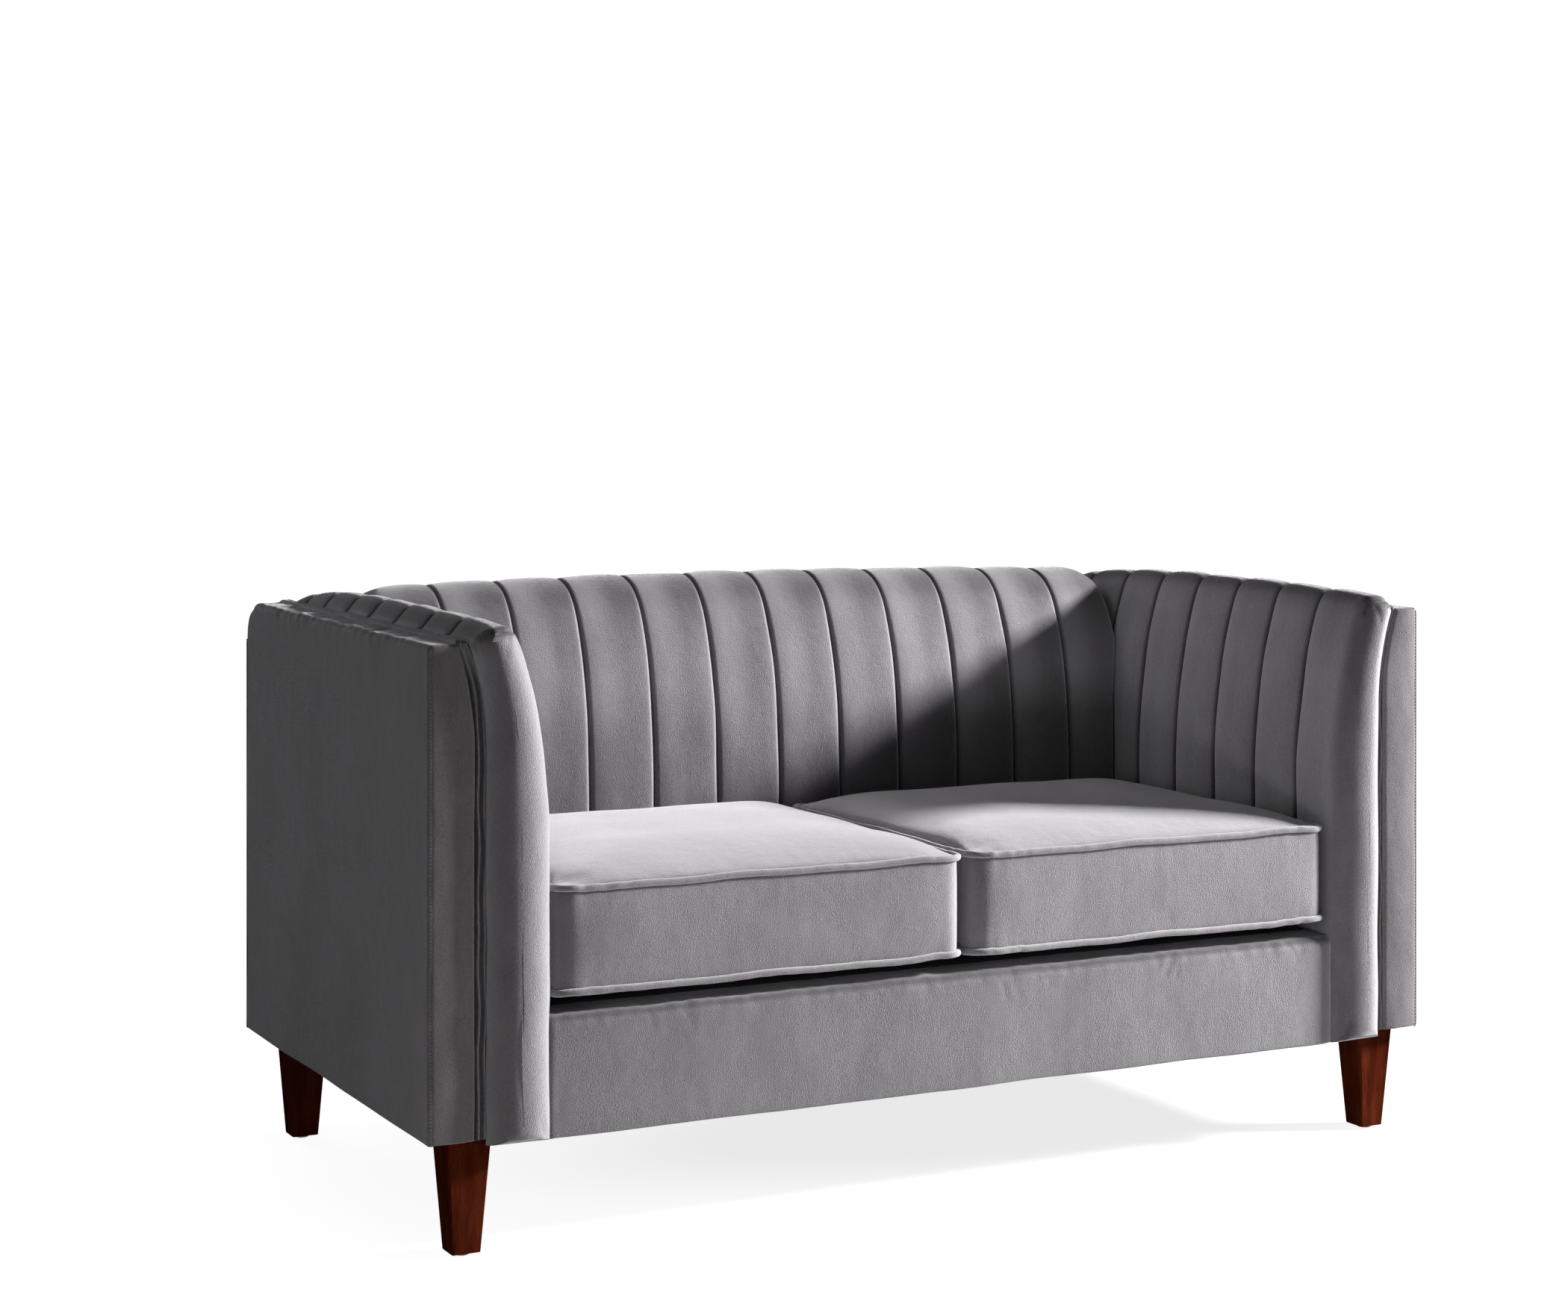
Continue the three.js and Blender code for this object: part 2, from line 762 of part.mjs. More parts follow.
// A back post, cut from board: upright behind, raked in front.
function backPost(name, middle) {
  const bottom = frameBottom + postWidth + fitGap;
  const outline = [
    [backPostFront, bottom],
    [timberRear, bottom],
    [timberRear, backPostHeight],
    [backPostTopFront, backPostHeight],
    [backPostFront, backPadBottom],
  ];
  const geometry = slab(outline, "yz", middle - postWidth / 2, middle + postWidth / 2);
  return piece(name, geometry, timber);
}

// The back unit, which stands between the arms.
function back() {
  const group = new THREE.Group();
  const endPost = seatHalf - postWidth / 2;
  group.add(
    piece("back_inner_pad", backPad(), velvet),
    piece("back_outside_panel", outsideBack(), velvet),
    backPost("back_left_post", -endPost),
    backPost("back_center_post", 0),
    backPost("back_right_post", endPost),
    timberPiece(
      "back_top_rail",
      [-seatHalf, backPostTopFront, backPostHeight + fitGap],
      [seatHalf, timberRear, backRailTop],
    ),
    timberPiece(
      "back_bottom_rail",
      [-seatHalf, rearPostFront, frameBottom],
      [seatHalf, timberRear, frameBottom + postWidth],
    ),
  );
  return group;
}

// A clip strip: a bent sheet whose mouth holds the ends of the springs. facing is 1 or -1.
function clipStrip(name, y, facing, half) {
  const outline = [
    [0, 0],
    [clipWidth, 0],
    [clipWidth, clipSheet],
    [clipSheet, clipSheet],
    [clipSheet, clipHeight - clipSheet],
    [clipLip, clipHeight - clipSheet],
    [clipLip, clipHeight],
    [0, clipHeight],
  ].map(([v, z]) => [y + facing * v, seatRailTop + fitGap + z]);
  return piece(name, slab(outline, "yz", -half, half), steel);
}

// A wire of round steel along a path that never runs straight up.
function wire(path, radius) {
  const up = new THREE.Vector3(0, 0, 1);
  const rings = path.map((point, k) => {
    const before = path[Math.max(k - 1, 0)];
    const after = path[Math.min(k + 1, path.length - 1)];
    const along = after.clone().sub(before).normalize();
    const across = new THREE.Vector3().crossVectors(along, up).normalize();
    const above = new THREE.Vector3().crossVectors(across, along);
    return [
      [radius, 0],
      [0, radius],
      [-radius, 0],
      [0, -radius],
    ].map(([u, v]) => point.clone().addScaledVector(across, u).addScaledVector(above, v));
  });
  return loft(rings, (p) => [p.y, p.z]);
}

// How gently a spring starts to bow up from its ends.
const springBow = 1.5;

// A sinuous spring: bars across the seat, joined by half loops, bowed up under the deck.
function spring(name, middle, from, to) {
  const springBars = 2 * Math.round((to - from) / (2 * springBarPitch)) + 1;
  const pitch = (to - from) / (springBars - 1);
  const loop = pitch / 2;
  const straight = springWidth / 2 - loop;
  const seatHeight = seatRailTop + fitGap + clipSheet + fitGap + wireRadius;
  const crown = deckBottom - fitGap - wireRadius - seatHeight;
  const flat = [[-straight, from]];
  for (let bar = 0; bar < springBars; bar++) {
    const turn = bar % 2 ? -1 : 1;
    const y = from + bar * pitch;
    flat.push([turn * straight, y]);
    if (bar === springBars - 1) break;
    for (const angle of [Math.PI / 6, Math.PI / 2, (5 * Math.PI) / 6])
      flat.push([turn * (straight + loop * Math.sin(angle)), y + loop * (1 - Math.cos(angle))]);
    flat.push([turn * straight, y + pitch]);
  }
  const level = apronRollDepth / 2;
  const path = flat.map(([x, y]) => {
    const along = within((y - from - level) / (to - from - 2 * level), 0, 1);
    const bow = Math.sin(Math.PI * along) ** springBow;
    return new THREE.Vector3(middle + x, y, seatHeight + crown * bow);
  });
  return piece(name, wire(path, wireRadius), steel);
}

// The cloth-covered front of the seat frame, with a roll of foam over the rail.
function apron() {
  const bottom = undersideHeight - apronDroop;
  const arc = steps(4).map((k) => {
    const angle = (Math.PI / 2) * (k / 3);
    return [
      -apronBulge + apronRollRadius * (1 - Math.cos(angle)),
      deckHeight - apronRollRadius * (1 - Math.sin(angle)),
    ];
  });
  const outline = [
    [coverThickness, bottom],
    [0, bottom],
    [-apronBulge, bottom + coverThickness],
    ...arc,
    [apronRollDepth, deckHeight],
    [apronRollDepth, apronRollFoot],
    [coverThickness, apronRollFoot],
  ];
  return slab(outline, "yz", -seatHalf, seatHalf);
}

// The cloth stapled under the whole body, cut away round the legs.
function dustCover() {
  const reach = timberOuter;
  const notch = armOuter - legInset - legTop / 2 - cushionGap;
  const front = legPlaces[0] + legTop / 2 + cushionGap;
  const rear = legPlaces[1] - legTop / 2 - cushionGap;
  const outline = [
    [notch, timberFront],
    [notch, front],
    [reach, front],
    [reach, rear],
    [notch, rear],
    [notch, timberRear],
    [-notch, timberRear],
    [-notch, rear],
    [-reach, rear],
    [-reach, front],
    [-notch, front],
    [-notch, timberFront],
  ];
  return slab(outline, "xy", frameBottom - fitGap - clothThickness, frameBottom - fitGap);
}

// The seat unit: a frame of rails, its springs and clips, and the cloth over and under them.
function seat() {
  const group = new THREE.Group();
  const between = railInner - fitGap;
  const frontRear = timberFront + seatRailThickness;
  const rearFront = seatRear - seatRailThickness;
  const sideOutline = [
    [timberFront, frameBottom],
    [timberFront, apronRollFoot - fitGap],
    [apronRollDepth + fitGap, apronRollFoot - fitGap],
    [apronRollDepth + fitGap, deckBottom - fitGap],
    [seatRear, deckBottom - fitGap],
    [seatRear, frameBottom],
  ];
  const sideRail = (name, low) =>
    piece(name, slab(sideOutline, "yz", low, low + seatRailThickness), timber);
  group.add(
    piece("front_apron", apron(), velvet),
    piece("dust_cover", dustCover(), liningCloth),
    timberPiece(
      "seat_deck_cover",
      [-seatHalf, apronRollDepth + fitGap, deckBottom],
      [seatHalf, seatRear, deckHeight],
      liningCloth,
    ),
    timberPiece(
      "seat_front_rail",
      [-between, timberFront, frameBottom],
      [between, frontRear, seatRailTop],
    ),
    timberPiece(
      "seat_rear_rail",
      [-between, rearFront, frameBottom],
      [between, seatRear, seatRailTop],
    ),
    timberPiece(
      "seat_center_rail",
      [-seatRailThickness / 2, frontRear + fitGap, frameBottom],
      [seatRailThickness / 2, rearFront - fitGap, seatRailTop],
    ),
    sideRail("seat_left_rail", -seatHalf),
    sideRail("seat_right_rail", railInner),
    clipStrip("front_spring_clip", timberFront, 1, between),
    clipStrip("rear_spring_clip", seatRear, -1, between),
  );
  const hold = clipSheet + wireRadius + fitGap;
  for (const place of steps(springCount)) {
    const middle = (place - (springCount - 1) / 2) * springPitch;
    group.add(spring(`seat_spring_${place + 1}`, middle, timberFront + hold, seatRear - hold));
  }
  return group;
}

// Points round a cushion, seen from above, each with the direction that faces outwards.
function cushionOutline(halfWidth, halfDepth) {
  const cornerSteps = 5;
  const sideSteps = 5;
  const corners = [
    [1, 1, 0],
    [-1, 1, 1],
    [-1, -1, 2],
    [1, -1, 3],
  ];
  return corners.flatMap(([sx, sy, quarter]) => {
    const centre = [sx * (halfWidth - cushionCorner), sy * (halfDepth - cushionCorner)];
    const round = steps(cornerSteps).map((k) => {
      const angle = (Math.PI / 2) * (quarter + k / (cornerSteps - 1));
      const out = [Math.cos(angle), Math.sin(angle)];
      return { at: centre.map((c, axis) => c + cushionCorner * out[axis]), out };
    });
    const [next] = corners.filter((corner) => corner[2] === (quarter + 1) % 4);
    const target = [next[0] * (halfWidth - cushionCorner), next[1] * (halfDepth - cushionCorner)];
    const out = round[cornerSteps - 1].out;
    const isRear = quarter === 0;
    const side = steps(sideSteps).map((k) => {
      const along = (k + 1) / (sideSteps + 1);
      const draw = isRear ? 0 : cushionDrawIn * Math.sin(Math.PI * along);
      const at = centre.map((c, axis) => {
        const start = c + cushionCorner * out[axis];
        const finish = target[axis] + cushionCorner * out[axis];
        return mix(start, finish, along) - draw * out[axis];
      });
      return { at, out };
    });
    return [...round, ...side];
  });
}

// How a cushion's top and belly rise from the piping: shares of the way in, and of the rise.
const crownShares = [
  [0.05, 0.3],
  [0.14, 0.6],
  [0.3, 0.86],
  [0.55, 0.98],
];
// Half of a cord's outline: shares of its radius outwards and upwards.
const cordShares = [
  [0.3, -0.9],
  [1, 0],
  [0.3, 0.9],
];

// A boxed cushion with piping round its top and bottom edges.
function cushion(halfWidth, halfDepth) {
  const outline = cushionOutline(halfWidth, halfDepth);
  const rest = deckHeight + fitGap;
  const ring = (out, inward, z) =>
    outline.map((point) => {
      const [x, y] = point.at.map((c, axis) => mix(c + out * point.out[axis], 0, inward));
      return new THREE.Vector3(x, y, z);
    });
  const piping = (seam) =>
    cordShares.map(([out, up]) => ring(out * cordRadius, 0, seam + up * cordRadius));
  const belly = cushionLowerSeam - cordRadius;
  const brow = cushionUpperSeam + cordRadius;
  const rings = [
    ...[...crownShares].reverse().map(([inward, rise]) => ring(0, inward, mix(belly, rest, rise))),
    ...piping(cushionLowerSeam),
    ring(0, 0, cushionLowerSeam + 2 * cordRadius),
    ring(borderSwell, 0, (cushionLowerSeam + cushionUpperSeam) / 2),
    ring(0, 0, cushionUpperSeam - 2 * cordRadius),
    ...piping(cushionUpperSeam),
    ...crownShares.map(([inward, rise]) => ring(0, inward, brow + rise * cushionCrown)),
  ];
  const flat = (p) => [p.x, p.y];
  return loft(rings, flat);
}

// The slider of a cushion's zip, with its pull tab hanging down.
function zipSlider() {
  const half = sliderHeight / 2;
  const outline = [
    [0, -half],
    [0, half],
    [sliderThickness, half],
    [sliderThickness, -half - tabLength],
    [sliderThickness - tabThickness, -half - tabLength],
    [sliderThickness - tabThickness, -half],
  ];
  return slab(outline, "yz", -sliderWidth / 2, sliderWidth / 2);
}

// A loose cushion and the slider in its rear border. direction is -1 on the left, 1 on the right.
function looseCushion(side, direction) {
  const group = new THREE.Group();
  const front = cordRadius - cushionOverhang;
  const middle = [direction * ((cushionGap + cushionWidth) / 2), (front + cushionRear) / 2];
  const halfDepth = (cushionRear - front) / 2;
  const body = piece(
    `${side}_seat_cushion`,
    cushion(cushionWidth / 2 - cordRadius, halfDepth),
    velvet,
  );
  body.position.set(...middle, 0);
  const slider = piece(`${side}_cushion_zip_slider`, zipSlider(), steel);
  slider.position.set(
    middle[0] - zipLength / 2,
    cushionRear + borderSwell + fitGap,
    (cushionLowerSeam + cushionUpperSeam) / 2,
  );
  group.add(body, slider);
  return group;
}

// The pieces stand about the middle of their own footprint.
const sofa = new THREE.Group();
const leftArm = arm("left");
leftArm.scale.x = -1;
sofa.add(arm("right"), leftArm, back(), seat());
sofa.add(looseCushion("left", -1), looseCushion("right", 1));
sofa.position.y = (padFrontBulge - bodyDepth - cordRadius) / 2;

const loveseat = new THREE.Group();
loveseat.name = "loveseat";
loveseat.add(sofa);

export default loveseat;
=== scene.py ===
"""Looks of the channel-tufted loveseat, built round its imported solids.

Sizes are in millimetres: x across the sofa, y back from the arm fronts and z up from the
floor, as in the solids. They turn into metres of the shared frame where a mesh is made.
"""

import logging
import math
from abc import ABC, abstractmethod
from dataclasses import dataclass
from enum import Enum
from typing import Any, Callable, Sequence

import bpy
import numpy as np
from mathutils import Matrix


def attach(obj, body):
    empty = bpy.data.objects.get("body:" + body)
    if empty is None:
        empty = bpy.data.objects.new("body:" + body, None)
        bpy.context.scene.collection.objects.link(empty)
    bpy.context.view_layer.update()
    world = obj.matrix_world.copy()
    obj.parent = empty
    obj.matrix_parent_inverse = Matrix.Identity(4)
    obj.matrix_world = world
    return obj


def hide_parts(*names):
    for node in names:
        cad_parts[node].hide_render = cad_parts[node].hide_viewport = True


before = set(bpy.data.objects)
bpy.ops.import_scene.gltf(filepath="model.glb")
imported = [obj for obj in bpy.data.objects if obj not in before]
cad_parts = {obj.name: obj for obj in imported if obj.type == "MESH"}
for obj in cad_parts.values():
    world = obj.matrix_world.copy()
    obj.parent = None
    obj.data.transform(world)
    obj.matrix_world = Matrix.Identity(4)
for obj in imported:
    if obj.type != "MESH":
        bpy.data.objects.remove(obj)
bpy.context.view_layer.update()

log = logging.getLogger("loveseat")

MM = 0.001
ARM_FRONT = -370.0  # where the arm fronts lie along the shared frame's y axis
SHARP = math.radians(55)  # edges that turn by more stay sharp
TINY = 1e-9
Array = np.ndarray
Colour = Place = tuple[float, float, float]


class Side(Enum):
    """The two sides of the loveseat, as its piece names use them."""

    LEFT = -1
    RIGHT = 1

    @property
    def label(self) -> str:
        """Return the word that starts the side's piece names."""
        return self.name.lower()


class Ends(Enum):
    """How the first and last sections of a lofted skin are treated."""

    CAPPED = "capped"
    JOINED = "joined"


class Slot(Enum):
    """The record's material slots that made pieces belong to."""

    VELVET = "velvet"
    STEEL = "steel"
    LINING = "lining_cloth"
    NYLON = "glide_nylon"


@dataclass(frozen=True)
class Measures:
    """Places that several sub-assemblies share."""

    arm_outer: float = 750.0
    arm_inner: float = 594.4
    pad_outer: float = 673.4
    pad_thickness: float = 79.0
    pad_height: float = 771.0
    skirt_bottom: float = 139.0
    arm_height: float = 748.0
    arm_rise: float = 9.0
    rear_radius: float = 50.0
    bend_height: float = 620.0
    top_lean: float = 22.0
    welt_center: float = 681.7
    body_depth: float = 760.0
    underside: float = 147.0
    deck: float = 289.0
    back_face: float = 541.0
    back_height: float = 787.8
    seat_rear: float = 609.3
    seat_half: float = 594.25
    timber_rear: float = 751.7

    def arm_top(self, y: Any) -> Any:
        """Return the height of the arm's top at each depth."""
        rise_end = self.body_depth - self.rear_radius
        return self.arm_height + self.arm_rise * np.clip(y / rise_end, 0, 1)

    def lean(self, z: Any) -> Any:
        """Return how far the welt leans outwards at each height."""
        climb = np.clip((z - self.bend_height) / (self.arm_height - self.bend_height), 0, 1)
        return self.top_lean * climb**2


SIZES = Measures()


def unit(vectors: Array) -> Array:
    """Return vectors scaled to a length of 1."""
    return vectors / np.maximum(np.linalg.norm(vectors, axis=-1, keepdims=True), TINY)


def columns(*parts: Any) -> Array:
    """Return points from their coordinates, each a row of values or one for all."""
    return np.stack(np.broadcast_arrays(*parts), axis=-1).astype(float)


def bell(distance: Array, width: float) -> Array:
    """Return 1 at no distance, falling smoothly to a third at the width."""
    return np.exp(-((distance / width) ** 2))


def ease(value: Any, low: float, high: float) -> Any:
    """Return a smooth climb from 0 at low to 1 at high."""
    t = np.clip((value - low) / (high - low), 0, 1)
    return t * t * (3 - 2 * t)


def rounded_edge(gap: Any, radius: float) -> Any:
    """Return how far a rounded edge has fallen away, at a distance in from its rim."""
    gap = np.clip(gap, 0, radius)
    return radius - np.sqrt(radius**2 - (radius - gap) ** 2)


def quarter(count: int) -> Array:
    """Return the angles of a quarter turn, in radians, without the first."""
    return np.linspace(0, math.pi / 2, count)[1:]


def both_ways(half: Array) -> Array:
    """Return places that start at 0, with the same ones on the other side of 0."""
    return np.concatenate([-half[:0:-1], half])


def bunched(low: float, high: float, count: int, pull: float = 0.8) -> Array:
    """Return steps from low up to high, not counting high, packed towards both ends."""
    t = np.linspace(0, 1, count, endpoint=False)
    return low + (high - low) * (t - pull * np.sin(2 * math.pi * t) / (2 * math.pi))


def resample(points: Array, spacing: float) -> Array:
    """Return points at even steps along a polyline, with its ends kept."""
    lengths = np.linalg.norm(np.diff(points, axis=0), axis=1)
    along = np.concatenate([[0], np.cumsum(lengths)])
    wanted = np.linspace(0, along[-1], max(2, round(along[-1] / spacing) + 1))
    return np.column_stack([np.interp(wanted, along, column) for column in points.T])


def smooth_path(points: Any, spacing: float) -> Array:
    """Return points, a spacing apart, along a smooth curve through the given ones."""
    p = np.array(points, float)
    slope = (np.vstack([p[1:], 2 * p[-1] - p[-2]]) - np.vstack([2 * p[0] - p[1], p[:-1]])) / 2
    span = np.maximum(np.linalg.norm(slope, axis=1), 1e-6)
    t = np.linspace(0, 1, 24, endpoint=False)[:, None]
    runs = []
    for k, run in enumerate(np.linalg.norm(np.diff(p, axis=0), axis=1)):
        start, end = (slope[j] * run / span[j] for j in (k, k + 1))
        runs.append((2 * t**3 - 3 * t**2 + 1) * p[k] + (t**3 - 2 * t**2 + t) * start
                    + (3 * t**2 - 2 * t**3) * p[k + 1] + (t**3 - t**2) * end)
    return resample(np.vstack([*runs, p[-1:]]), spacing)


def distance_to(points: Array, path: Array) -> Array:
    """Return each point's distance from a polyline."""
    best = np.full(len(points), np.inf)
    for a, b in zip(path[:-1], path[1:]):
        run = b - a
        t = np.clip((points - a) @ run / max(run @ run, TINY), 0, 1)
        best = np.minimum(best, np.linalg.norm(points - a - t[:, None] * run, axis=1))
    return best


class Ripple:
    """Smooth waves in space that look irregular and are the same in every run."""

    def __init__(self, seed: int, wavelength: float, count: int = 16) -> None:
        """Draw a set of waves, picked by the seed, round a middle wavelength."""
        draw = np.random.default_rng(seed)
        ways = unit(draw.normal(size=(count, 3)))
        self.waves = ways * 2 * math.pi / (wavelength * draw.uniform(0.65, 1.6, (count, 1)))
        self.phases = draw.uniform(0, 2 * math.pi, count)

    def __call__(self, points: Array) -> Array:
        """Return a value of about -1 to 1 at each point."""
        waves = np.sin(points @ self.waves.T + self.phases)
        return waves.sum(axis=1) / math.sqrt(2 * len(self.phases))


@dataclass
class Skin:
    """A closed surface on its way to becoming a mesh, in millimetres."""

    points: Array
    faces: list[Array]
    # how much painted shade each point gets, in seams and recesses
    crease: Array | None = None
    lay: Array | None = None  # painted light and shade: above 0 lighter, below 0 darker

    @classmethod
    def loft(cls, rings: Any, ends: Ends = Ends.CAPPED) -> "Skin":
        """Join closed sections, each a ring of points, into a skin."""
        rings = np.array(rings)
        count, around = rings.shape[:2]
        index = np.arange(count * around).reshape(count, around)
        caps = [index[0][::-1][None], index[-1][None]] if ends is Ends.CAPPED else []
        if ends is Ends.JOINED:
            index = np.vstack([index, index[:1]])
        turned = np.roll(index, -1, axis=1)
        quads = np.stack([index[:-1], turned[:-1], turned[1:], index[1:]], -1).reshape(-1, 4)
        return cls(rings.reshape(-1, 3), [quads, *caps]).outward()

    def outward(self) -> "Skin":
        """Turn the faces so that they all look outwards."""
        volume = 0.0
        for group in self.faces:
            a = self.points[group[:, 0]]
            for k in range(1, group.shape[1] - 1):
                b, c = self.points[group[:, k]], self.points[group[:, k + 1]]
                volume += float(np.einsum("ij,ij->", a, np.cross(b, c)))
        if volume < 0:
            self.faces = [group[:, ::-1] for group in self.faces]
        return self

    def move(self, amount: Array) -> "Skin":
        """Move each point outwards by its amount."""
        total = np.zeros_like(self.points)
        for group in (g for g in self.faces if g.shape[1] == 4):
            a, b, c, d = (self.points[group[:, k]] for k in range(4))
            across = np.cross(c - a, d - b)
            for k in range(4):
                np.add.at(total, group[:, k], across)
        self.points += unit(total) * amount[:, None]
        return self

    def mark(self, amount: Array) -> "Skin":
        """Note how much painted shade each point gets in seams and recesses, from 0 to 1."""
        known = np.zeros(len(self.points)) if self.crease is None else self.crease
        self.crease = np.maximum(known, np.clip(amount, 0, 1))
        return self

    def press(self, path: Any, depth: float, width: float) -> "Skin":
        """Sink a seam, whose depth and half width are given, along a line, with painted shade in
        it.
        """
        fall = bell(distance_to(self.points, np.array(path, float)), width)
        return self.move(-depth * fall).mark(fall * min(1.0, depth / 2))

    def lump(self, seed: int, wavelength: float, height: float) -> "Skin":
        """Add the slight unevenness of stuffed cloth."""
        return self.move(height * Ripple(seed, wavelength)(self.points))

    def mirror(self) -> None:
        """Turn the skin into that of the other side."""
        self.points[:, 0] *= -1
        self.faces = [group[:, ::-1] for group in self.faces]

    def build(self, name: str, finish: bpy.types.Material) -> bpy.types.Object:
        """Make the Blender object."""
        mesh = bpy.data.meshes.new(name)
        row = (self.points + (0, ARM_FRONT, 0)) * MM
        mesh.from_pydata(row.tolist(), [], [f for g in self.faces for f in g.tolist()])
        mesh.validate()
        mesh.shade_smooth()
        mesh.set_sharp_from_angle(angle=SHARP)
        # The painted shade and the painted light go to the material as point attributes.
        for label, values in (("crease", self.crease), ("lay", self.lay)):
            if values is not None:
                layer = mesh.attributes.new(label, "FLOAT", "POINT")
                layer.data.foreach_set("value", values.astype(np.float32))
        mesh.materials.append(finish)
        return linked(name, mesh)


def linked(name: str, data: Any) -> bpy.types.Object:
    """Return a new object of the scene that shows a mesh, lamp or camera."""
    thing = bpy.data.objects.new(name, data)
    bpy.context.scene.collection.objects.link(thing)
    return thing


def merged(skins: Sequence[Skin]) -> Skin:
    """Return several skins as one."""
    starts = np.cumsum([0] + [len(skin.points) for skin in skins])
    faces = [group + start for skin, start in zip(skins, starts) for group in skin.faces]
    # each skin's painted shade, where it has any
    creases = [np.zeros(len(s.points)) if s.crease is None else s.crease for s in skins]
    return Skin(np.vstack([skin.points for skin in skins]), faces, np.concatenate(creases))


def tube(path: Array, radius: float, sides: int = 10, ends: Ends = Ends.CAPPED) -> Skin:
    """Return a round cord along a path.

    Args:
        path: Middle points of the cord.
        radius: The cord's radius.
        sides: Points round the cord.
        ends: Whether its end meets its start.

    Returns:
        The cord's skin.
    """
    if ends is Ends.JOINED:
        way = np.roll(path, -1, axis=0) - np.roll(path, 1, axis=0)
    else:
        way = np.gradient(path, axis=0)
    way = unit(way)
    up = np.zeros_like(way)
    lead = np.array([0.0, 0.0, 1.0]) if abs(way[0][2]) < 0.9 else np.array([1.0, 0.0, 0.0])
    for k, w in enumerate(way):
        lead = unit(lead - w * (lead @ w))
        up[k] = lead
    side = np.cross(way, up)
    turn = np.linspace(0, 2 * math.pi, sides, endpoint=False)[None, :, None]
    ring = np.cos(turn) * side[:, None] + np.sin(turn) * up[:, None]
    return Skin.loft(path[:, None] + radius * ring, ends)


def stitches(path: Sequence[Place], out: Place, pitch: float, length: float,
             radius: float) -> Skin:
    """Return a row of short threads along a path.

    Args:
        path: The line of the seam.
        out: Direction in which the threads stand proud.
        pitch: Distance from thread to thread.
        length: Length of each thread.
        radius: Its radius.

    Returns:
        All the threads as one skin.
    """
    spots = resample(np.array(path), pitch)
    shares = np.linspace(-1, 1, 5)
    arch = (1 - shares**2) * radius * 0.9 - radius * 0.4
    lift = arch[:, None] * np.array(out, float)
    return merged([tube(spot + shares[:, None] * way * length / 2 + lift, radius, 6)
                   for spot, way in zip(spots, unit(np.gradient(spots, axis=0)))])


def masked_slab(us: Array, vs: Array, keep: Callable[[float, float], bool],
                place: Callable[[Array, Array], tuple[Array, Array]]) -> Skin:
    """Return a sheet with corners or steps cut out of it.

    Args:
        us: Grid lines one way.
        vs: Grid lines the other way.
        keep: Says for the middle of a cell whether it is part of the sheet.
        place: Gives the points of both faces at grid places.

    Returns:
        The closed sheet.
    """
    grid_u, grid_v = np.meshgrid(us, vs, indexing="ij")
    count = grid_u.size
    index = np.arange(count).reshape(grid_u.shape)
    mid_u, mid_v = (us[:-1] + us[1:]) / 2, (vs[:-1] + vs[1:]) / 2
    i, j = np.nonzero([[keep(u, v) for v in mid_v] for u in mid_u])
    cells = np.stack([index[i, j], index[i + 1, j], index[i + 1, j + 1], index[i, j + 1]], -1)
    edges: dict[tuple[int, int], None] = {}
    for cell in cells.tolist():
        for a, b in zip(cell, cell[1:] + cell[:1]):
            if (b, a) in edges:
                del edges[(b, a)]
            else:
                edges[(a, b)] = None
    walls = np.array([(b, a, a + count, b + count) for a, b in edges])
    used = np.unique(np.concatenate([cells.ravel(), cells.ravel() + count]))
    renumber = np.zeros(2 * count, int)
    renumber[used] = np.arange(len(used))
    faces = [renumber[cells], renumber[cells[:, ::-1] + count], renumber[walls]]
    return Skin(np.vstack(place(grid_u.ravel(), grid_v.ravel()))[used], faces).outward()


def math_node(operation: str, swapped: bool = False) -> Callable[["Term", Any], "Term"]:
    """Return an arithmetic method that adds a Math node."""

    def method(self: "Term", other: Any) -> "Term":
        """Return the node's result."""
        pair = (other, self) if swapped else (self, other)
        return self.maker.add("ShaderNodeMath", {"operation": operation}, dict(enumerate(pair)))

    return method


@dataclass
class Term:
    """A socket of a node tree, with arithmetic that adds Math nodes."""

    maker: "NodeMaker"
    socket: Any

    __add__ = __radd__ = math_node("ADD")
    __sub__, __rsub__ = math_node("SUBTRACT"), math_node("SUBTRACT", swapped=True)
    __mul__ = __rmul__ = math_node("MULTIPLY")
    __pow__ = math_node("POWER")


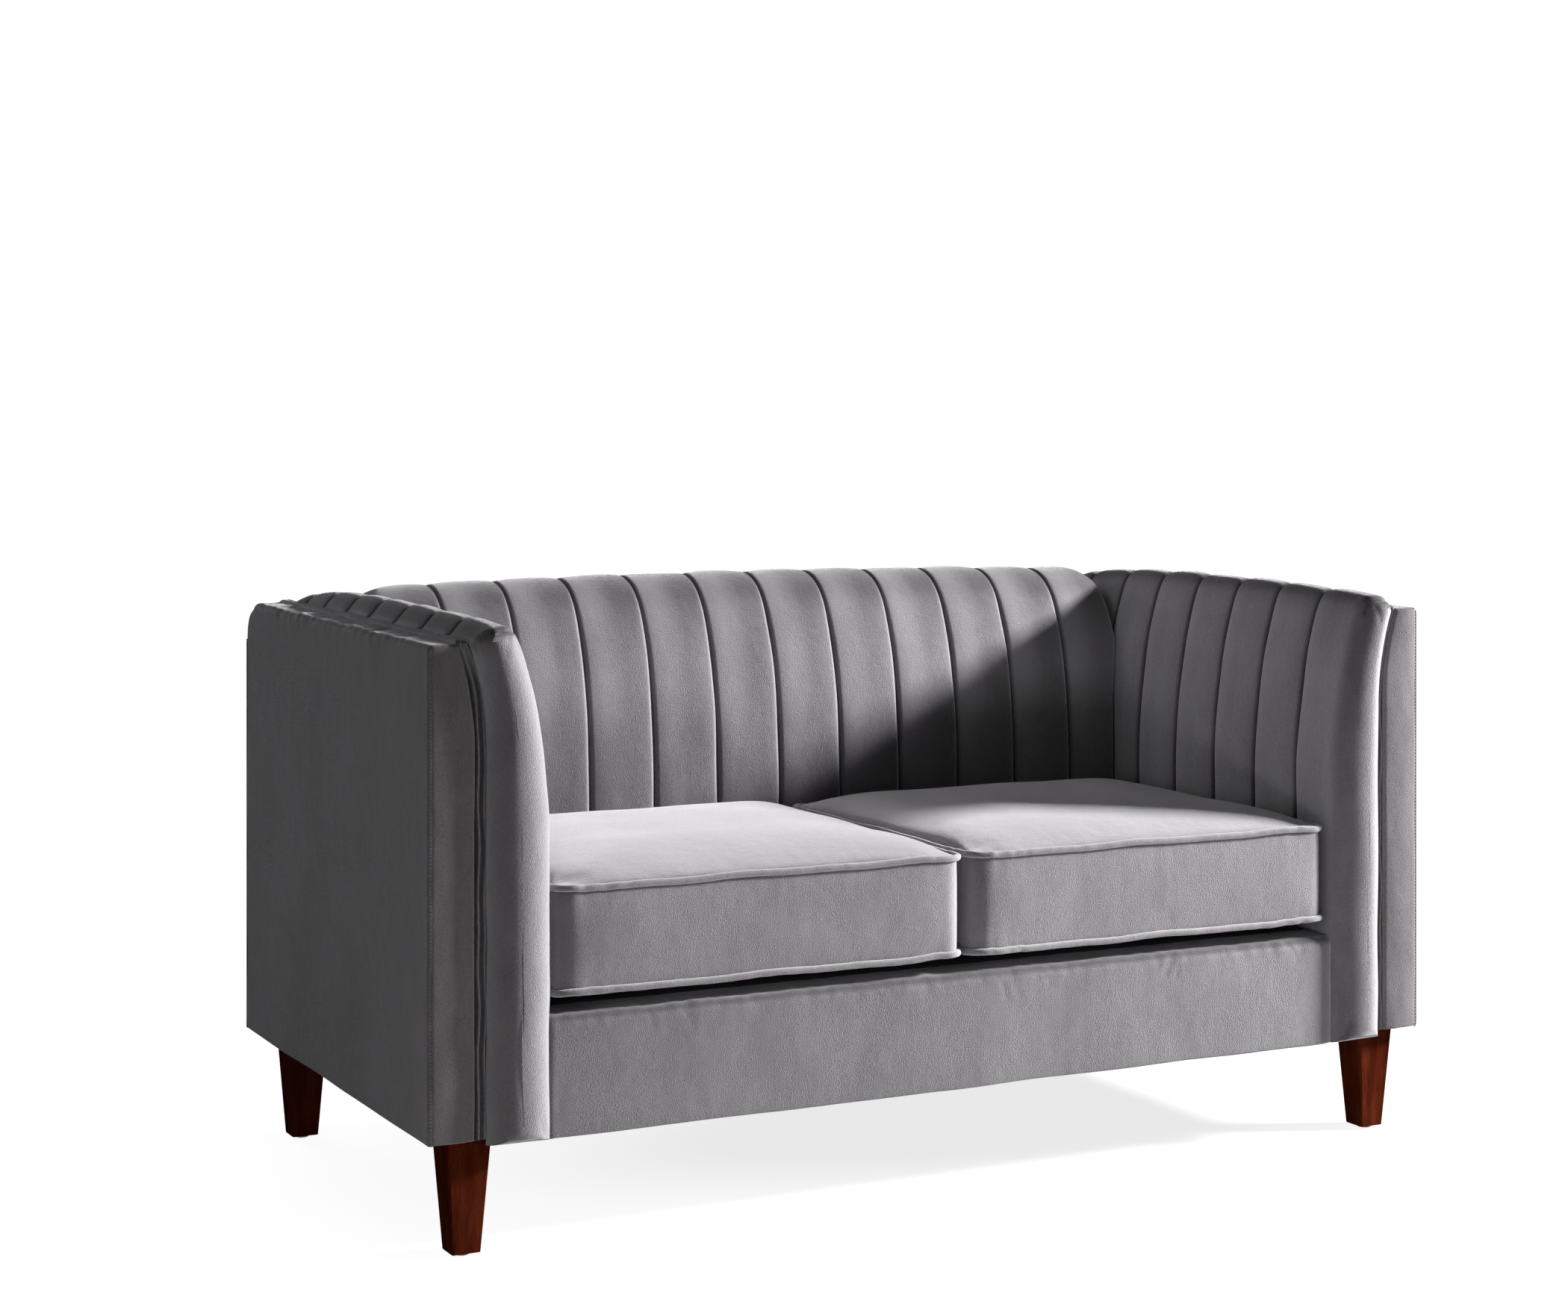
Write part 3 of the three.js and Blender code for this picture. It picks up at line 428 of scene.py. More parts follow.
class NodeMaker:
    """Adds nodes to one material or world."""

    def __init__(self, owner: Any) -> None:
        """Start with an empty tree in a material or world."""
        owner.use_nodes = True
        self.tree = owner.node_tree
        self.tree.nodes.clear()

    def add(self, kind: str, settings: dict | None = None, values: dict | None = None,
            out: Any = 0) -> Term:
        """Add a node.

        Args:
            kind: The node's type.
            settings: Its own settings, such as an operation or a ramp's stops.
            values: Values or links of its sockets, by name, identifier or place.
            out: Which output is returned.

        Returns:
            That output.
        """
        node = self.tree.nodes.new(kind)
        for key, value in (settings or {}).items():
            if key != "stops":
                setattr(node, key, value)
                continue
            ramp = node.color_ramp.elements
            while len(ramp) < len(value):
                ramp.new(1.0)
            for stop, (place, tone) in zip(ramp, value):
                stop.position = place
                stop.color = (tone, tone, tone, 1) if isinstance(tone, float) else (*tone, 1)
        for key, value in (values or {}).items():
            self.feed(self.pick(node.inputs, key), value)
        return Term(self, self.pick(node.outputs, out) if len(node.outputs) else node)

    @staticmethod
    def pick(sockets: Any, key: Any) -> Any:
        """Return a socket by its place, identifier or name."""
        if isinstance(key, int):
            return sockets[key]
        named = [s for s in sockets if s.identifier == key]
        return (named or [s for s in sockets if s.name == key and s.enabled])[0]

    def feed(self, socket: Any, value: Any) -> None:
        """Link or set a socket."""
        if isinstance(value, Term):
            self.tree.links.new(value.socket, socket)
        elif isinstance(value, tuple) and len(value) == 3 and socket.type == "RGBA":
            socket.default_value = (*value, 1)
        else:
            socket.default_value = value

    def vector(self, operation: str, first: Any, second: Any, out: str = "Vector") -> Term:
        """Return the result of a Vector Math node."""
        return self.add("ShaderNodeVectorMath", {"operation": operation},
                        {0: first, 1: second}, out)

    def noise(self, vector: Term, scale: float, detail: float = 3.0, rough: float = 0.55) -> Term:
        """Return even noise at a scale per metre."""
        values = {"Vector": vector, "Scale": scale, "Detail": detail, "Roughness": rough}
        return self.add("ShaderNodeTexNoise", {"noise_dimensions": "3D"}, values, "Fac")

    def blend(self, share: Any, first: Any, second: Any) -> Term:
        """Return a mix of two colours."""
        values = {"Factor_Float": share, "A_Color": first, "B_Color": second}
        return self.add("ShaderNodeMix", {"data_type": "RGBA", "clamp_factor": True}, values,
                        "Result_Color")

    def deeper(self, share: Any, tone: Colour, scale: float) -> Term:
        """Return a mix of a colour and the same one scaled."""
        return self.blend(share, tone, tuple(scale * channel for channel in tone))

    def ramp(self, value: Term, stops: Sequence[tuple[float, Any]]) -> Term:
        """Return a value or colour read off a ramp."""
        return self.add("ShaderNodeValToRGB", {"stops": stops}, {"Fac": value}, "Color")

    def bump(self, height: Term, distance: float, strength: float, **under: Term) -> Term:
        """Return a surface direction roughened by a height, in metres."""
        values = {"Height": height, "Distance": distance, "Strength": strength, **under}
        return self.add("ShaderNodeBump", None, values, "Normal")

    def by_level(self, upright: float, level: float) -> Term:
        """Return one value where a surface stands upright and another where it lies level."""
        way = self.add("ShaderNodeNewGeometry", out="Normal")
        rise = self.vector("DOT_PRODUCT", way, (0.0, 0.0, 1.0), "Value")
        return self.add("ShaderNodeMapRange", {"interpolation_type": "SMOOTHSTEP"},
                        {"Value": rise, "From Min": 0.15, "From Max": 0.75,
                         "To Min": upright, "To Max": level}, "Result")

    def seen_directly(self) -> Term:
        """Return 1 for what the camera sees, also in or through a surface, and else 0."""
        paths = self.tree.nodes.new("ShaderNodeLightPath").outputs
        camera, glossy, through = (Term(self, paths[f"Is {kind} Ray"])
                                   for kind in ("Camera", "Glossy", "Transmission"))
        return self.add("ShaderNodeMath", {"operation": "MINIMUM"},
                        {0: camera + glossy + through, 1: 1.0})

    def surface(self, values: dict) -> None:
        """End the tree in a shader with these values."""
        shader = self.add("ShaderNodeBsdfPrincipled", None, values, "BSDF")
        self.add("ShaderNodeOutputMaterial", None, {"Surface": shader})


class Finish(ABC):
    """What every finish has: a name and a way to make its material."""

    name: str

    @abstractmethod
    def paint(self, nodes: NodeMaker, place: Term) -> None:
        """Lay out the nodes, from the place on the object in metres."""

    def make(self) -> bpy.types.Material:
        """Return the material."""
        material = bpy.data.materials.new(self.name)
        nodes = NodeMaker(material)
        self.paint(nodes, nodes.add("ShaderNodeTexCoord", out="Object"))
        return material


@dataclass(frozen=True)
class Velvet(Finish):
    """The grey pile cloth, with its pebbled nap, and painted sheen and painted shade in its colour.
    """

    name: str
    deep: Colour
    mid: Colour
    bright: Colour
    painted_sheen: Colour = (0.9, 0.885, 0.92)  # painted sheen and highlight: the pale tone blended in where the cloth is seen edge-on, and across the back's channels
    # the colour of painted shade: in seams, in recesses, on level cloth and low on the back
    crease: Colour = (0.02, 0.017, 0.019)
    grain: float = 760.0  # pebbles per metre
    nap: float = 0.78  # strength of the pebbled relief
    painted_sheen_share: float = 0.92  # how much painted sheen a steep view brings out
    painted_sheen_level_share: float = 1.0  # the share of that painted sheen left where the cloth lies level
    painted_level_shade: float = 0.0  # painted shade: how much darker the cloth is made where it lies level

    def paint(self, nodes: NodeMaker, place: Term) -> None:
        """Lay out the nodes."""
        pebbles = nodes.noise(place, self.grain, 2.0, 0.6)
        brushed = nodes.noise(place, 9.0, 4.0, 0.6)
        drawn = nodes.vector("MULTIPLY", place, (1.0, 1.0, 0.35))
        strokes = nodes.noise(drawn, 38.0, 4.0, 0.65)
        tone = pebbles * 0.5 + brushed * 0.27 + strokes * 0.23
        colour = nodes.ramp(tone, [(0.34, self.deep), (0.5, self.mid), (0.67, self.bright)])
        seam, lay = (nodes.add("ShaderNodeAttribute", {"attribute_name": key}, None, "Fac")
                     for key in ("crease", "lay"))
        # Painted shade on level cloth, painted highlight and shade laid across the back's channels
        # and low on it, and painted shade in seams and recesses.
        for share, tint in ((nodes.by_level(0.0, self.painted_level_shade), self.crease),
                            (lay * 0.2, self.painted_sheen), (lay * -0.42, self.crease),
                            (seam * 0.85, self.crease)):
            colour = nodes.blend(share, colour, tint)
        relief = nodes.bump(brushed, 0.012, 0.22)
        relief = nodes.bump(strokes, 0.0022, 0.14, Normal=relief)
        relief = nodes.bump(pebbles, 0.0014, self.nap, Normal=relief)
        # Painted sheen: the base colour turns towards the pale tone where the cloth is seen
        # edge-on.
        edge_on = nodes.add("ShaderNodeLayerWeight", None, {"Blend": 0.5, "Normal": relief},
                            "Facing")
        painted_sheen_share = edge_on**1.6 * nodes.by_level(self.painted_sheen_share, self.painted_sheen_share * self.painted_sheen_level_share)
        nodes.surface({"Base Color": nodes.blend(painted_sheen_share, colour, self.painted_sheen),
                       "Normal": relief, "Roughness": 0.9, "Specular IOR Level": 0.0,
                       "Sheen Weight": 1.0, "Sheen Roughness": 0.3,
                       "Sheen Tint": (0.93, 0.9, 0.95)})


@dataclass(frozen=True)
class StainedWood(Finish):
    """The legs' red-brown stain, drawn matt; the satin coat over it isn't drawn."""

    name: str = "stained_leg_wood"
    dark: Colour = (0.028, 0.004, 0.0018)
    mid: Colour = (0.07, 0.012, 0.0045)
    light: Colour = (0.125, 0.026, 0.01)

    def paint(self, nodes: NodeMaker, place: Term) -> None:
        """Lay out the nodes."""
        long = nodes.vector("MULTIPLY", place, (1.0, 1.0, 0.09))
        warp = nodes.noise(place, 14.0, 2.0)
        fibres = nodes.noise(long, 420.0, 5.0, 0.7)
        figure = nodes.noise(long, 70.0, 3.0, 0.5)
        tone = fibres * 0.35 + figure * 0.45 + warp * 0.2
        colour = nodes.ramp(tone, [(0.34, self.dark), (0.5, self.mid), (0.68, self.light)])
        nodes.surface({"Base Color": colour, "Roughness": 0.5 + 0.2 * fibres,
                       "Normal": nodes.bump(fibres, 0.0003, 0.35), "Specular IOR Level": 0.0})


@dataclass(frozen=True)
class RawTimber(Finish):
    """Unfinished frame timber."""

    name: str = "raw_frame_timber"
    pale: Colour = (0.62, 0.46, 0.28)
    dark: Colour = (0.36, 0.23, 0.12)

    def paint(self, nodes: NodeMaker, place: Term) -> None:
        """Lay out the nodes."""
        along = nodes.vector("MULTIPLY", place, (0.12, 1.0, 1.0))
        grain = nodes.noise(along, 160.0, 4.0, 0.6)
        knots = nodes.noise(place, 7.0, 2.0)
        nodes.surface({"Base Color": nodes.blend(grain * 0.7 + knots * 0.3, self.dark, self.pale),
                       "Normal": nodes.bump(grain, 0.0006, 0.5), "Roughness": 0.72})


@dataclass(frozen=True)
class Steel(Finish):
    """Zinc-coated or polished steel."""

    name: str
    tone: Colour = (0.58, 0.58, 0.6)
    roughness: float = 0.32

    def paint(self, nodes: NodeMaker, place: Term) -> None:
        """Lay out the nodes."""
        scuffs = nodes.noise(place, 260.0, 4.0, 0.7)
        spangle = nodes.noise(place, 60.0, 2.0)
        nodes.surface({"Base Color": nodes.deeper(1 - spangle, self.tone, 0.72),
                       "Roughness": self.roughness + 0.16 * scuffs,
                       "Normal": nodes.bump(scuffs, 0.0002, 0.3), "Metallic": 1.0})


@dataclass(frozen=True)
class LiningCloth(Finish):
    """Thin spun cloth with a dimpled pattern, for the dust cover and the deck."""

    name: str = "lining_cloth"
    tone: Colour = (0.014, 0.014, 0.015)

    def paint(self, nodes: NodeMaker, place: Term) -> None:
        """Lay out the nodes."""
        dimples = nodes.add("ShaderNodeTexVoronoi", {"feature": "F1"},
                            {"Vector": place, "Scale": 420.0}, "Distance")
        share = dimples * 0.5 + nodes.noise(place, 700.0, 3.0) * 0.5
        nodes.surface({"Base Color": nodes.deeper(share, self.tone, 2.6),
                       "Normal": nodes.bump(dimples, 0.0005, 0.6), "Roughness": 0.95})


@dataclass(frozen=True)
class Nylon(Finish):
    """Moulded nylon of the glides and the zip's teeth."""

    name: str = "dark_nylon"
    tone: Colour = (0.022, 0.022, 0.024)

    def paint(self, nodes: NodeMaker, place: Term) -> None:
        """Lay out the nodes."""
        mottle = nodes.noise(place, 300.0, 3.0)
        nodes.surface({"Base Color": nodes.deeper(mottle, self.tone, 1.9),
                       "Roughness": 0.38 + 0.2 * mottle,
                       "Normal": nodes.bump(mottle, 0.0001, 0.4)})


@dataclass(frozen=True)
class Thread(Finish):
    """Sewing thread and woven tape."""

    name: str
    tone: Colour
    strands: float = 1400.0

    def paint(self, nodes: NodeMaker, place: Term) -> None:
        """Lay out the nodes."""
        twist = nodes.add("ShaderNodeTexWave", {"bands_direction": "DIAGONAL"},
                          {"Vector": place, "Scale": self.strands, "Distortion": 1.5}, "Fac")
        nodes.surface({"Base Color": nodes.deeper(twist, self.tone, 1.7),
                       "Normal": nodes.bump(twist, 0.0002, 0.5), "Roughness": 0.8})


@dataclass(frozen=True)
class StudioFloor(Finish):
    """A pale floor that shows as white and keeps the object's faint shadow, with a painted shadow
    pool under the object.
    """

    name: str = "studio_floor"
    tone: Colour = (0.27, 0.27, 0.27)
    # the white glow, darker near the object as a painted shadow
    glow: tuple = ((0.0, 0.79), (0.046, 0.795), (0.062, 0.86), (0.078, 0.92), (0.1, 0.945),
                   (0.2, 0.957), (0.6, 0.975), (0.9, 1.0))
    reach: float = 5.0  # metres from the darkest place of the painted shadow that the ramp's stops run over
    squeeze: tuple = (0.42, 1.0, 1.0)  # the painted shadow pool is longer than it is deep
    off_middle: float = 0.147

    def paint(self, nodes: NodeMaker, place: Term) -> None:
        """Lay out the nodes."""
        squeezed = nodes.vector("MULTIPLY", place, self.squeeze)
        painted_shadow_pool = nodes.vector("SUBTRACT", squeezed, (self.off_middle, 0.0, 0.0))
        far = nodes.vector("LENGTH", painted_shadow_pool, (0.0, 0.0, 0.0), "Value")
        colour = nodes.deeper(nodes.noise(place, 40.0, 2.0), self.tone, 1.04)
        matt = nodes.add("ShaderNodeBsdfDiffuse", None, {"Color": colour})
        glow = nodes.add("ShaderNodeEmission", None,
                         {"Color": nodes.ramp(far * (1 / self.reach), self.glow),
                          "Strength": nodes.seen_directly()})
        both = nodes.add("ShaderNodeAddShader", None, {0: matt, 1: glow})
        nodes.add("ShaderNodeOutputMaterial", None, {"Surface": both})


class Finishes:
    """Every material of the object, made once."""

    def __init__(self) -> None:
        """Make the materials."""
        # One velvet in three copies. The cushions' copy is painted lighter, with full painted sheen
        # where it lies level and no painted level shade. The arms' side cloth is painted darker,
        # with little painted sheen.
        self.velvet = Velvet("grey_velvet", (0.1, 0.092, 0.097), (0.142, 0.133, 0.14),
                             (0.2, 0.19, 0.2), painted_sheen_level_share=0.15, painted_level_shade=0.4).make()
        self.cushion = Velvet("grey_velvet_painted_lighter", (0.115, 0.106, 0.112),
                              (0.168, 0.157, 0.166), (0.24, 0.228, 0.24), painted_sheen_share=0.88).make()
        self.side = Velvet("grey_velvet_painted_darker", (0.1, 0.092, 0.096), (0.143, 0.133, 0.139),
                           (0.2, 0.189, 0.198), painted_sheen_share=0.3, painted_sheen_level_share=0.3,
                           painted_level_shade=0.3).make()
        self.wood = StainedWood().make()
        self.timber = RawTimber().make()
        self.steel = Steel("zinc_steel").make()
        self.slider = Steel("slider_steel", (0.42, 0.41, 0.4), 0.22).make()
        self.lining = LiningCloth().make()
        self.nylon = Nylon().make()
        self.thread = Thread("dark_thread", (0.018, 0.016, 0.017)).make()
        self.tape = Thread("zip_tape", (0.05, 0.046, 0.05), 900.0).make()


@dataclass
class Piece:
    """A sub-assembly of made pieces, on one side of the sofa or right across it."""

    finishes: Finishes
    side: Side | None = None

    @property
    def body(self) -> str:
        """Return the body that the pieces ride on."""
        return "frame"

    def named(self, ending: str) -> str:
        """Return a name that starts with the side, where there is one."""
        return f"{self.side.label}_{ending}" if self.side else ending

    def seeded(self, base: int, wavelength: float) -> Ripple:
        """Return waves that differ from side to side."""
        return Ripple(base + self.side.value, wavelength)

    def seat(self, skin: Skin, ending: str, replaced: Sequence[str] = (),
             fill: float | None = None, finish: bpy.types.Material | None = None,
             slot: Slot = Slot.VELVET) -> bpy.types.Object:
        """Make a piece, attach it to its body and hide the solids that it stands for.

        Args:
            skin: Its surface, which is made for the right side where it rides on the frame.
            ending: Its name after the side.
            replaced: Nodes that it stands for, after the side.
            fill: How tightly it is stuffed, where it is padded; not used.
            finish: Its material, where that isn't plain velvet.
            slot: The slot of its finish; not used.

        Returns:
            The object.
        """
        if self.side is Side.LEFT and self.body == "frame":
            skin.mirror()
        piece = skin.build(self.named(ending), finish or self.finishes.velvet)
        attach(piece, self.body)
        if replaced:
            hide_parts(*map(self.named, replaced))
        log.info("%s: %d points on %s", piece.name, len(piece.data.vertices), self.body)
        return piece


@dataclass
class Channelled(Piece):
    """A pad that is sewn into evenly spaced channels."""

    first_seam: float = 0.0
    pitch: float = 100.0
    crown: float = 4.2  # how far the channels fall away towards their seams
    cut: float = 3.6  # extra depth of the seam itself
    cut_width: float = 2.8
    # half width of the painted shade along each seam
    seam_shade_width: float = 2.5

    def near(self, place: Any) -> Any:
        """Return the distance from the nearest seam."""
        return np.abs((place - self.first_seam + self.pitch / 2) % self.pitch - self.pitch / 2)

    def relief(self, near: Any) -> Any:
        """Return how far the pad lies below its crest, at a distance from a seam."""
        off = np.clip(1 - 2 * near / self.pitch, 0, 1)
        return self.crown * off**3.2 + self.cut * bell(near, self.cut_width)


@dataclass
class ArmPad(Channelled):
    """The pad inside an arm: a roll in front, channels behind it and a crest on top."""

    first_seam: float = 86.0
    bulge: float = 29.0
    rear: float = 753.3
    rear_round: float = 12.0
    channels_from: float = 38.0
    ledge: float = 8.0
    bend: float = 22.4  # radius of the inner corner, in plan
    bend_from: float = 1.6
    brow: float = 57.6  # radius of the front from that corner to the nose
    brow_turn: float = 40.0  # degrees
    nose: float = 45.0  # how far the front-most line lies from the inner face
    lip: float = 20.0  # rounding of the front at its top and bottom
    crest: tuple = ((0, 0), (60, 3), (200, 5), (450, 5), (550, 1.5), (600, -1), (650, -5),
                    (700, -10), (750, -20))
    post_front: float = 706.4
    post_top: float = 749.0
    flange_ends: tuple = (611.4, SIZES.pad_outer + SIZES.top_lean + 0.8)
    flange_thickness: float = 2.4
    face: tuple = (
        (0, 0), (0, 0.14), (0, 0.28), (0, 0.45), (0, 0.6), (0.045, 0.69), (0.125, 0.77),
        (0.235, 0.848), (0.36, 0.908), (0.51, 0.962), (0.66, 0.99), (0.86, 1), (1.06, 0.992),
        (1.2, 0.974),
    )
    roll_turns: tuple = (88, 85, 81, 77, 72, 67, 61, 55, 49, 42, 35, 28, 20, 11, 0)
    peak: tuple = (650, 765)  # the corner that the mitred seam pinches up
    mitre: tuple = ((698, 750), (688, 757), (672, 762), (651, 765))
    tucks: tuple = (  # places across and up, depth, half width
        (((651, 765), (646, 757), (640, 744)), 1.4, 2.4),
        (((651, 765), (656, 753), (661, 736)), 1.1, 2.6),
        (((650, 766), (642, 765), (634, 760)), 1.2, 2.4),
        (((684, 763), (668, 769), (652, 770)), 1.0, 3.0),
        (((600, 143), (607, 152), (613, 168)), 1.2, 3.0),
    )

    def outline(self) -> tuple[Array, int]:
        """Return the pad's section and how many of its points are on the seen face."""
        size = (SIZES.pad_thickness, SIZES.pad_height - SIZES.skirt_bottom)
        face = np.array(self.face) * size + (SIZES.arm_inner, SIZES.skirt_bottom)
        seen = smooth_path(face, 5.0)
        heights = np.linspace(SIZES.arm_height - 2, SIZES.skirt_bottom, 44)
        outer = columns(SIZES.pad_outer + SIZES.lean(heights), heights)
        return np.vstack([seen, outer]), len(seen)

    def stations(self) -> Array:
        """Return the depths of the sections and how far each side is drawn to the nose."""
        tight = np.radians(np.linspace(90, self.brow_turn, 24))
        wide = np.radians(np.linspace(self.brow_turn, 0, 24)[1:])
        plan = np.vstack([
            columns(self.bend * (1 - np.sin(tight)), self.bend_from - self.bend * np.cos(tight)),
            columns(self.nose - self.brow * np.sin(wide),
                    self.brow * (1 - np.cos(wide)) - self.bulge),
        ])
        roll = np.radians(self.roll_turns)
        end = np.linspace(0.15, 1, 6) * math.pi / 2
        seams = np.arange(self.first_seam, self.rear, self.pitch)
        lead = bunched(self.first_seam - self.pitch, seams[0], 26)
        straight = [
            [self.ledge + 0.05], np.linspace(10, 40, 14), lead[lead > 42],
            *(bunched(low, high, 26) for low, high in zip(seams[:-1], seams[1:])),
            np.linspace(seams[-1], self.post_front - 0.1, 8),
            [self.post_front, self.post_front + 0.1],
            np.linspace(712, self.rear - self.rear_round, 5),
        ]
        y, draw = np.vstack([
            columns(self.ledge - (self.ledge + self.bulge) * np.sin(roll), 1 - np.cos(roll)),
            columns(np.concatenate(straight), 0.0),
            columns(self.rear - self.rear_round * (1 - np.sin(end)), 0.25 * (1 - np.cos(end))),
        ]).T
        inner = np.interp(y, plan[::-1, 1], plan[::-1, 0] / self.nose)
        return columns(y, draw, np.where(y > self.bend_from, draw, inner))

    def skin(self) -> Skin:
        """Return the pad's surface."""
        section, seen = self.outline()
        stations = self.stations()
        x, z = section.T
        slope = unit(np.gradient(section, axis=0))
        is_face = np.arange(len(section)) < seen
        top = int(np.argmax(z))
        inner_x = np.interp(z, z[:top], x[:top])
        outer_x = SIZES.pad_outer + SIZES.lean(z)
        middle = inner_x + (outer_x - inner_x) * self.nose / SIZES.pad_thickness
        level = np.clip(z, SIZES.skirt_bottom + self.lip, SIZES.pad_height - self.lip)
        up = (z - SIZES.skirt_bottom) / (SIZES.pad_height - SIZES.skirt_bottom)
        rings = []
        for y, draw, draw_inner in stations:
            sunk = self.relief(self.near(y)) * ease(up, 0.0, 0.05)
            sunk = np.where(is_face & (y > self.channels_from), sunk, 0.0)
            sunk = sunk * (1 - 0.3 * ease(up, 0.85, 1.0))
            px, pz = x + sunk * slope[:, 1], z - sunk * slope[:, 0]
            px = px + (middle - px) * np.where(px < middle, draw_inner, draw)
            pz = pz + (level - pz) * draw
            lift = np.interp(y, *np.array(self.crest).T) + SIZES.arm_top(y) - SIZES.arm_height
            ring = columns(px, y, pz + lift * np.clip(up, 0, 1) ** 4)
            self.fold(ring, seen)
            rings.append(ring)
        skin = Skin.loft(rings)
        # painted shade along the channels' seams
        ys = skin.points[:, 1]
        facing = np.tile(is_face, len(stations)) & (ys > self.channels_from)
        return skin.mark(np.where(facing, bell(self.near(ys), self.seam_shade_width), 0.0))

    def fold(self, ring: Array, seen: int) -> None:
        """Fold what lies too low in a section flat, as a flange where it is over the post.

        Args:
            ring: The section's points, which are changed.
            seen: How many of them are on the face.
        """
        y = ring[0, 1]
        over_post = y > self.post_front
        floor = SIZES.deck + 0.3 if y > self.ledge else SIZES.skirt_bottom
        floor = self.post_top if over_post else floor
        top = floor + self.flange_thickness
        middle = (SIZES.arm_inner + SIZES.pad_outer) / 2
        halves = np.arange(seen)[::-1], np.arange(seen, len(ring))
        for half, end in zip(halves, self.flange_ends):
            low = half[ring[half, 2] < floor]
            if not len(low):
                continue
            edge = ring[half[len(half) - len(low) - 1]]
            share = np.arange(1, len(low) + 1) / len(low)
            ring[low, 0] = edge[0] + (middle - edge[0]) * share
            ring[low, 2] = floor
            if over_post:
                ring[low, 0] = np.interp(share, [0, 0.4, 0.5, 1], [edge[0], end, end, middle])
                ring[low, 2] = np.interp(share, [0, 0.15, 0.4, 0.5, 1],
                                         [edge[2], top, top - 0.6, floor, floor])

    @staticmethod
    def settled(skin: Skin, spots: Sequence[tuple[float, float]]) -> Array:
        """Return the front-most points of a skin at places across and up."""
        x, y, z = skin.points.T
        forward = 0.03 * (y + 30) ** 2
        return np.array([skin.points[np.argmin((x - across) ** 2 + (z - up) ** 2 + forward)]
                         for across, up in spots])

    def dress(self) -> None:
        """Make the pad, with its pinched corner and mitred seam."""
        skin = self.skin().lump(11 + self.side.value, 90.0, 0.9)
        pinch = self.settled(skin, [self.peak])[0]
        skin.move(2.4 * bell(np.linalg.norm(skin.points - pinch, axis=1), 10))
        seam = self.settled(skin, self.mitre)
        skin.move(1.8 * bell(distance_to(skin.points, seam + (0, 6, 4.5)), 6))
        skin.press(smooth_path(seam, 2.0), 3.0, 2.2)
        for spots, deep, wide in self.tucks:
            skin.press(self.settled(skin, spots), deep, wide)
        self.seat(skin, "arm_channelled_pad", ["arm_inner_pad"], 0.85)


